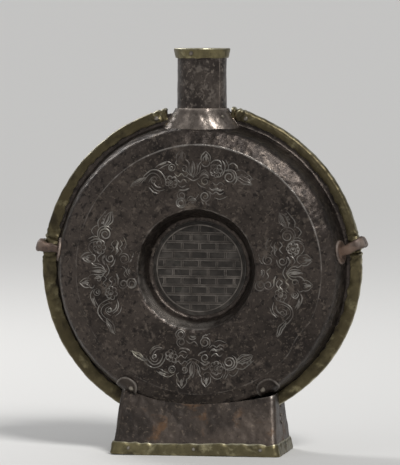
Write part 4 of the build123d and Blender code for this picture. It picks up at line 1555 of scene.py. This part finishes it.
def lug_form(side, reach, tilt, thickness_shares, height_shares):
    """A bent bar. The shares are its thickness and height from the front root to the back."""
    path = lug_path(reach, tilt)
    way = unit(np.gradient(path, axis=0))
    share = runs_along(path) / runs_along(path)[-1]
    across, above = lug_section()
    aside = across[None] * (lug_thickness * from_shares(share, thickness_shares))[:, None]
    rise = above[None] * (lug_height * from_shares(share, height_shares))[:, None]
    out = path[:, 0][:, None] + way[:, 1][:, None] * aside
    deep = path[:, 1][:, None] - way[:, 0][:, None] * aside
    points = np.stack([
        side * (lug_root_x + out * math.cos(tilt) - rise * math.sin(tilt)),
        deep,
        centre_height + lug_rise + out * math.sin(tilt) + rise * math.cos(tilt),
    ], axis=-1)
    middle = points.mean(axis=1, keepdims=True)
    hammered, fine = lug_lump_shares
    lumps = 1 + hammered * hammer_dents(points) + fine * fine_dents(points)
    wear = lug_least_wear + lug_more_wear * hump(share, 1 / 2, lug_wear_share)[:, None] * np.abs(across)[None]
    return bar_form(swayed(middle + (points - middle) * lumps[..., None]), wear=np.clip(wear, 0, 1))


right_bar = lug_form(1, right_lug_high.x, right_lug_tilt, right_thickness_shares, right_height_shares)
left_bar = lug_form(-1, -left_lug_low.x, left_lug_tilt, left_thickness_shares, left_height_shares)
add_piece("forged_right_lug", [right_bar], lug_iron, "lug_iron", "right_lug")
add_piece("forged_left_lug", [left_bar], lug_iron, "lug_iron", "left_lug")

# %% Washers lie on the body's skin
plate_sides = 64
plate_rings = 9
plate_sink = 0.0002
plate_under_shares = [1.03, 1.0, 0.0]
plate_under_wear = [1.0, 0.5, 0.0]
plate_flank_share = 0.45
plate_edge_drop_share = 0.12
plate_dents = (0.0, 0.00012, 0.00004)
plate_wear = 0.9
plate_wear_start_share = 0.7


def plate_on_skin(angle, run, outline, thickness, dish, side):
    """A thin plate laid on the skin. The outline gives the reach, sideways and along the run, by angle."""
    turn = np.linspace(0, 2 * math.pi, plate_sides, endpoint=False)
    sideways, along = outline(turn)
    top_shares = np.linspace(0, 1, plate_rings)
    shares = np.concatenate([top_shares, plate_under_shares])
    under_lifts = [thickness * plate_flank_share, -plate_sink, -plate_sink]
    lifts = np.concatenate([thickness + dish(top_shares), under_lifts])
    lifts[plate_rings - 1] -= thickness * plate_edge_drop_share
    radius = np.interp(run, skin_runs, skin_line[:, 0])
    angles = angle + sideways[:, None] * shares[None] / radius
    runs = run + along[:, None] * shares[None]
    points = on_skin(angles, runs, lifts[None] + 0 * runs, side)
    points = points + side * np.array([0, 1, 0]) * dents(points, plate_dents)[..., None]
    wear = np.concatenate([plate_wear * eased(top_shares, plate_wear_start_share, 1), plate_under_wear])
    return bar_form(swayed(points), True, np.repeat(wear[None], plate_sides, axis=0))


washer_radius = 0.0096
washer_thickness = 0.0013
washer_rim_height = 0.0006
washer_hollow = 0.0004
washer_rim_shares = (0.88, 0.14)
washer_hollow_shares = (0.55, 0.2)
washer_run = run_at_depth(lug_half_span)
lug_angle = math.atan2(lug_rise, lug_root_x)


def round_outline(turn):
    """A circle of the washer's radius."""
    return washer_radius * np.cos(turn), washer_radius * np.sin(turn)


def washer_dish(share):
    """A hollow between a raised ring at the edge and the bar in the middle."""
    rim = washer_rim_height * hump(share, *washer_rim_shares)
    return rim - washer_hollow * hump(share, *washer_hollow_shares)


for angle, name in ((lug_angle, "right"), (math.pi - lug_angle, "left")):
    forms = [plate_on_skin(angle, washer_run, round_outline, washer_thickness, washer_dish, side)
             for side in (-1, 1)]
    add_piece(f"{name}_dished_washers", forms, lug_iron, "lug_iron", f"{name}_lug_washers")

# %% [markdown]
# ## The foot
#
# Two iron plates make the foot: each has a broad panel and two returns, which overlap at the sides. Their
# top edges are cut to the body. A station is a place on the foot's outline, held as the corner that it
# belongs to and the way it faces, so the same stations serve at every height of the tapered foot.

# %% Stations round the foot
foot_sheet = 0.0014
foot_base = np.array([0.0700, 0.0388])
foot_flare = np.array([0.0021, 0.0014])
foot_taper = np.array([0.0043, 0.0150])
foot_flare_height = 0.010
foot_top_left = 0.0555
foot_top_middle = 0.0430
foot_top_right = 0.0490
foot_corner = 0.0040
foot_bottom = 0.0013
lap_share = 0.16
corner_steps = 8
plate_side_steps = 28
plate_panel_steps = 110
ring_side_steps = 50
ring_panel_steps = 130


def foot_half_size(heights):
    """Half the width and half the depth of the foot's skin at each height."""
    low = np.clip(heights / foot_flare_height, 0, 1)[..., None]
    high = np.clip((heights - foot_flare_height) / (foot_top_left - foot_flare_height), 0, 1)[..., None]
    return foot_base - foot_flare * low - foot_taper * high


def side_stations(corner_x, from_y, to_y, count):
    """Stations along one narrow side."""
    return [(corner_x, y, corner_x, 0) for y in np.linspace(from_y, to_y, count)]


def wide_stations(corner_y, from_x, to_x, count):
    """Stations along one broad side."""
    return [(x, corner_y, 0, corner_y) for x in np.linspace(from_x, to_x, count)]


def corner_stations(corner_x, corner_y, start, end):
    """Stations round a corner, from one way of facing to another in degrees."""
    return [(corner_x, corner_y, math.cos(math.radians(turn)), math.sin(math.radians(turn)))
            for turn in np.linspace(start, end, corner_steps)[1:-1]]


front_stations = np.array(
    side_stations(1, lap_share, -1, plate_side_steps) + corner_stations(1, -1, 0, -90)
    + wide_stations(-1, 1, -1, plate_panel_steps) + corner_stations(-1, -1, -90, -180)
    + side_stations(-1, -1, lap_share, plate_side_steps)
)
back_stations = np.array(
    side_stations(-1, -lap_share, 1, plate_side_steps) + corner_stations(-1, 1, 180, 90)
    + wide_stations(1, -1, 1, plate_panel_steps) + corner_stations(1, 1, 90, 0)
    + side_stations(1, 1, -lap_share, plate_side_steps)
)
ring_stations = np.array(
    side_stations(1, 1, -1, ring_side_steps) + corner_stations(1, -1, 0, -90)
    + wide_stations(-1, 1, -1, ring_panel_steps) + corner_stations(-1, -1, -90, -180)
    + side_stations(-1, -1, 1, ring_side_steps) + corner_stations(-1, 1, 180, 90)
    + wide_stations(1, -1, 1, ring_panel_steps) + corner_stations(1, 1, 90, 0)
)
print("stations:", len(front_stations), len(back_stations), len(ring_stations))


def foot_points(stations, heights, grow):
    """Points of the foot's outline at stations and heights, set out by a growth."""
    core = foot_half_size(heights) - foot_corner
    x = stations[..., 0] * core[..., 0] + stations[..., 2] * (foot_corner + grow)
    y = stations[..., 1] * core[..., 1] + stations[..., 3] * (foot_corner + grow)
    return np.stack([x, y, heights], axis=-1)


# %% Foot plates
plate_rows = 40
plate_tries = 240
body_gap = 0.0002
foot_free_heights = (0.008, 0.016)
foot_dents = (0.00035, 0.00012, 0.00004)
foot_top_wear = 0.5
foot_top_wear_share = 0.03
foot_corner_wear = 0.55
corner_facing = 0.1
foot_top_half_width = foot_base[0] - foot_flare[0] - foot_taper[0]


def foot_top(x):
    """The height of the foot's top edge, which hangs between its corners."""
    share = np.clip(x / foot_top_half_width, -1, 1)
    lift = (foot_top_left + foot_top_right) / 2 - foot_top_middle
    tilt = (foot_top_right - foot_top_left) / 2
    return foot_top_middle + lift * share**2 + tilt * share


def plate_form(stations, grow):
    """A foot plate: at each station it rises until it meets the body or its own top edge."""
    tries = np.linspace(foot_bottom, foot_top_left, plate_tries)
    spread = stations[:, None] + np.zeros((1, plate_tries, 1))
    points = foot_points(spread, tries[None] + 0 * spread[..., 0], grow[:, None])
    stopped = inside_body(points, body_gap) | (points[..., 2] > foot_top(points[..., 0]))
    stop = np.where(stopped.any(axis=1), np.argmax(stopped, axis=1), plate_tries - 1)
    up = np.linspace(0, 1, plate_rows)[None]
    heights = foot_bottom + (tries[stop][:, None] - foot_bottom) * up
    skin = foot_points(stations[:, None] + np.zeros((1, plate_rows, 1)), heights, grow[:, None])
    free = eased(skin[..., 2], *foot_free_heights)
    skin = skin - grid_normals(skin, False) * (dents(skin, foot_dents) * free)[..., None]
    corner = (np.abs(stations[:, 2]) > corner_facing) & (np.abs(stations[:, 3]) > corner_facing)
    wear = foot_top_wear * hump(up, 1, foot_top_wear_share) + foot_corner_wear * corner[:, None]
    return sheet_form(swayed(skin), foot_sheet, -1, wear=np.clip(wear, 0, 1))


ear_shift = 0.001
ear_run = run_at(shoulder_radius) - ear_shift
ear_angle = math.radians(-59)
ear_thickness = 0.0012
ear_half_width = 0.0092
ear_reach_in = 0.0098
ear_reach_out = 0.0125
ear_rim_height = 0.0007
ear_rim_shares = (0.9, 0.12)
ear_side_power = 0.8
ear_end_power = 0.85
tongue_margin_share = 0.01


def ear_outline(turn):
    """A tongue with a round end towards the face, and a longer root down the wall."""
    sideways = ear_half_width * np.sign(np.cos(turn)) * np.abs(np.cos(turn)) ** ear_side_power
    reach = np.where(np.sin(turn) < 0, ear_reach_in, ear_reach_out)
    return sideways, reach * np.sign(np.sin(turn)) * np.abs(np.sin(turn)) ** ear_end_power


def ear_dish(share):
    """A raised ring near the edge."""
    return ear_rim_height * hump(share, *ear_rim_shares)


for side, name, stations in ((-1, "front", front_stations), (1, "back", back_stations)):
    tongue = (side > 0) & (np.abs(stations[:, 0]) == 1) & (stations[:, 1] < lap_share + tongue_margin_share)
    forms = [plate_form(stations, np.where(tongue, -foot_sheet - body_gap, 0.0))]
    for angle in (ear_angle, math.pi - ear_angle):
        forms.append(plate_on_skin(angle, ear_run, ear_outline, ear_thickness, ear_dish, side))
    add_piece(f"foot_{name}_sheet", forms, foot_iron, "foot_iron", f"foot_{name}_plate")

# %% [markdown]
# ## The foot's brass binding
#
# The plates' lower edge stands in a brass channel. Its section runs from the outer lip down, under the
# edge and up again inside, and the stations carry it round the foot.

# %% Binding
binding_height = binding_high.z
binding_sheet = 0.0012
binding_lip = 0.0022
binding_lean = 0.0006
binding_out = binding_high.x - foot_base[0]
binding_in = -foot_sheet - binding_out
binding_bends = [0.001, 0.0012, 0.0012, 0.001]
binding_bend_steps = 5
binding_spacing = 0.0007
binding_wave_start = 0.004
binding_wave = 0.00045
binding_dents = (0.0001, 0.0002, 0.00006)
binding_shrink = 0.0002
binding_top_wear = 0.7
binding_top_wear_width = 0.0012
binding_low_wear = 0.4
binding_low_wear_width = 0.0015


def binding_form():
    """A brass channel that goes once round the foot."""
    corners = [(binding_out - binding_lean, binding_height), (binding_out, binding_height - binding_lip),
               (binding_out, 0.0), (binding_in, 0.0), (binding_in, binding_height - binding_lip),
               (binding_in + binding_lean, binding_height)]
    line = evened(rounded_line(corners, binding_bends, binding_bend_steps), binding_spacing)
    stations = ring_stations[:, None] + np.zeros((1, len(line), 1))
    heights = line[:, 1][None] + 0 * stations[..., 0]
    skin = foot_points(stations, heights, line[:, 0][None])
    skin[..., 2] += eased(heights, binding_wave_start, binding_height) * binding_wave * hammer_dents(skin)
    facing = ring_stations[:, 2:]
    out = unit(np.stack([facing[:, 0], facing[:, 1], 0 * facing[:, 0]], axis=-1))[:, None]
    skin = skin + out * (dents(skin, binding_dents) - binding_shrink)[..., None]
    top_wear = binding_top_wear * hump(heights, binding_height, binding_top_wear_width)
    low_wear = binding_low_wear * hump(heights, 0, binding_low_wear_width)
    return sheet_form(swayed(skin), binding_sheet, 1, wrap_rows=True, wear=top_wear + low_wear)


add_piece("brass_foot_binding", [binding_form()], brass, "brass", "foot_binding")

# %% [markdown]
# ## Rivets
#
# Every rivet is peened by hand, so no two heads are alike. A head is a low dome with an uneven rim, drawn
# with its own seed, that stands a little into the sheet it holds.

# %% Rivet heads
head_sides = 28
head_shares = np.array([0, 0.2, 0.4, 0.58, 0.74, 0.87, 0.96, 1.0, 0.98, 0])
head_rise_shares = np.array([1, 0.98, 0.92, 0.83, 0.70, 0.55, 0.38, 0.1, -0.5, -0.5])
head_wobble_shares = (0.07, 0.04)
head_tilt_share = 0.12
head_wear = 0.9
nearly_upright = 0.9


def head_form(place, outward, radius, height, seed):
    """A dome on a place that faces outward, with a rim and a tilt of its own."""
    draw = np.random.default_rng(seed)
    place = np.array(place, float)
    outward = unit(np.array(outward, float))
    helper = np.array([0, 0, 1.0]) if abs(outward[2]) < nearly_upright else np.array([1.0, 0, 0])
    across = unit(np.cross(helper, outward))
    above = np.cross(outward, across)
    turn = np.linspace(0, 2 * math.pi, head_sides, endpoint=False)[:, None]
    starts = draw.uniform(0, 2 * math.pi, 3)
    twofold, threefold = head_wobble_shares
    uneven = 1 + twofold * np.cos(2 * turn + starts[0]) + threefold * np.cos(3 * turn + starts[1])
    reach = radius * head_shares[None] * uneven
    tilt = head_tilt_share * np.cos(turn + starts[2]) * head_shares[None]
    rise = height * (head_rise_shares[None] + tilt)
    flat = across * (reach * np.cos(turn))[..., None] + above * (reach * np.sin(turn))[..., None]
    wear = np.clip(head_rise_shares, 0, 1)[None] * head_wear + 0 * turn
    return bar_form(swayed(place + flat + outward * rise[..., None]), True, wear)


def add_rivets(name, node, heads, size):
    """One piece for a node's heads, each a place and the way it faces. The size is a radius and a height."""
    forms = [head_form(place, outward, *size, index) for index, (place, outward) in enumerate(heads)]
    add_piece(name, forms, rivet_iron, "rivet_iron", node)


# %% Heads on the edging, the collar and the lip
strip_rivet_angles = (73.2, 107.0, -64.5, -115.5)
strip_rivet_inset = 0.0050
strip_rivet_lift = 0.0002
strip_rivet_size = (0.0020, 0.0010)
strip_rivet_radius = rim_radius - strip_rivet_inset
strip_heads = [
    (around(strip_rivet_radius, edging_depth + strip_rivet_lift, math.radians(angle), side), (0, side, 0))
    for angle in strip_rivet_angles for side in (-1, 1)
]
add_rivets("edging_rivet_heads", "rim_strip_rivets", strip_heads, strip_rivet_size)

collar_rivet_angles = (40, 140, 220, 320)
collar_rivet_share = 0.39
collar_rivet_upward = 0.3
collar_rivet_size = (0.0018, 0.0009)
collar_heads = []
for turn in map(math.radians, collar_rivet_angles):
    place = collar_point(np.array(turn), np.array(collar_rivet_share))
    collar_heads.append((place, (math.cos(turn), math.sin(turn), collar_rivet_upward)))
add_rivets("collar_rivet_heads", "collar_rivets", collar_heads, collar_rivet_size)

lip_rivet_turn = math.radians(-104)
lip_rivet_drop = 0.0042
lip_rivet_upward = -0.2
lip_rivet_size = (0.0018, 0.0007)
lip_rivet_radius = (lip_bottom_radius + lip_high.x) / 2
lip_x, lip_y = math.cos(lip_rivet_turn), math.sin(lip_rivet_turn)
lip_place = (lip_rivet_radius * lip_x, lip_rivet_radius * lip_y, lip_high.z - lip_rivet_drop)
add_rivets("lip_rivet_head", "lip_rivet", [(lip_place, (lip_x, lip_y, lip_rivet_upward))], lip_rivet_size)

# %% Heads on the foot
seam_rivet_heights = (0.031, 0.0252)
seam_rivet_size = (0.0016, 0.0008)
seam_heads = []
for height in seam_rivet_heights:
    half_width = foot_half_size(np.array(height))[0]
    for side in (-1, 1):
        seam_heads.append(((side * half_width, 0, height), (side, 0, 0)))
        seam_heads.append(((side * (half_width - 2 * foot_sheet), 0, height), (-side, 0, 0)))
add_rivets("foot_seam_rivet_heads", "foot_seam_rivets", seam_heads, seam_rivet_size)

ear_rivet_angle = math.radians(-61)
ear_rivet_radius = 0.1125
ear_rivet_size = (0.0022, 0.0010)
ear_rivet_run = run_at(ear_rivet_radius)
ear_heads = []
for angle in (ear_rivet_angle, math.pi - ear_rivet_angle):
    for side in (-1, 1):
        place = on_skin(np.array(angle), ear_rivet_run, ear_thickness, side)
        ahead = on_skin(np.array(angle), ear_rivet_run, 2 * ear_thickness, side)
        ear_heads.append((place, ahead - place))
add_rivets("ear_rivet_heads", "foot_ear_rivets", ear_heads, ear_rivet_size)

binding_rivet_height = 0.0054
binding_rivet_spacing = 0.055
binding_rivet_size = (0.0015, 0.0008)
half_width, half_depth = foot_half_size(np.array(binding_rivet_height)) + binding_out
channel = binding_out - binding_in
binding_heads = []
for side in (-1, 1):
    for place in (-binding_rivet_spacing, 0, binding_rivet_spacing):
        binding_heads.append(((place, side * half_depth, binding_rivet_height), (0, side, 0)))
        binding_heads.append(((place, side * (half_depth - channel), binding_rivet_height), (0, -side, 0)))
    binding_heads.append(((side * half_width, 0, binding_rivet_height), (side, 0, 0)))
    binding_heads.append(((side * (half_width - channel), 0, binding_rivet_height), (-side, 0, 0)))
add_rivets("binding_rivet_heads", "foot_binding_rivets", binding_heads, binding_rivet_size)
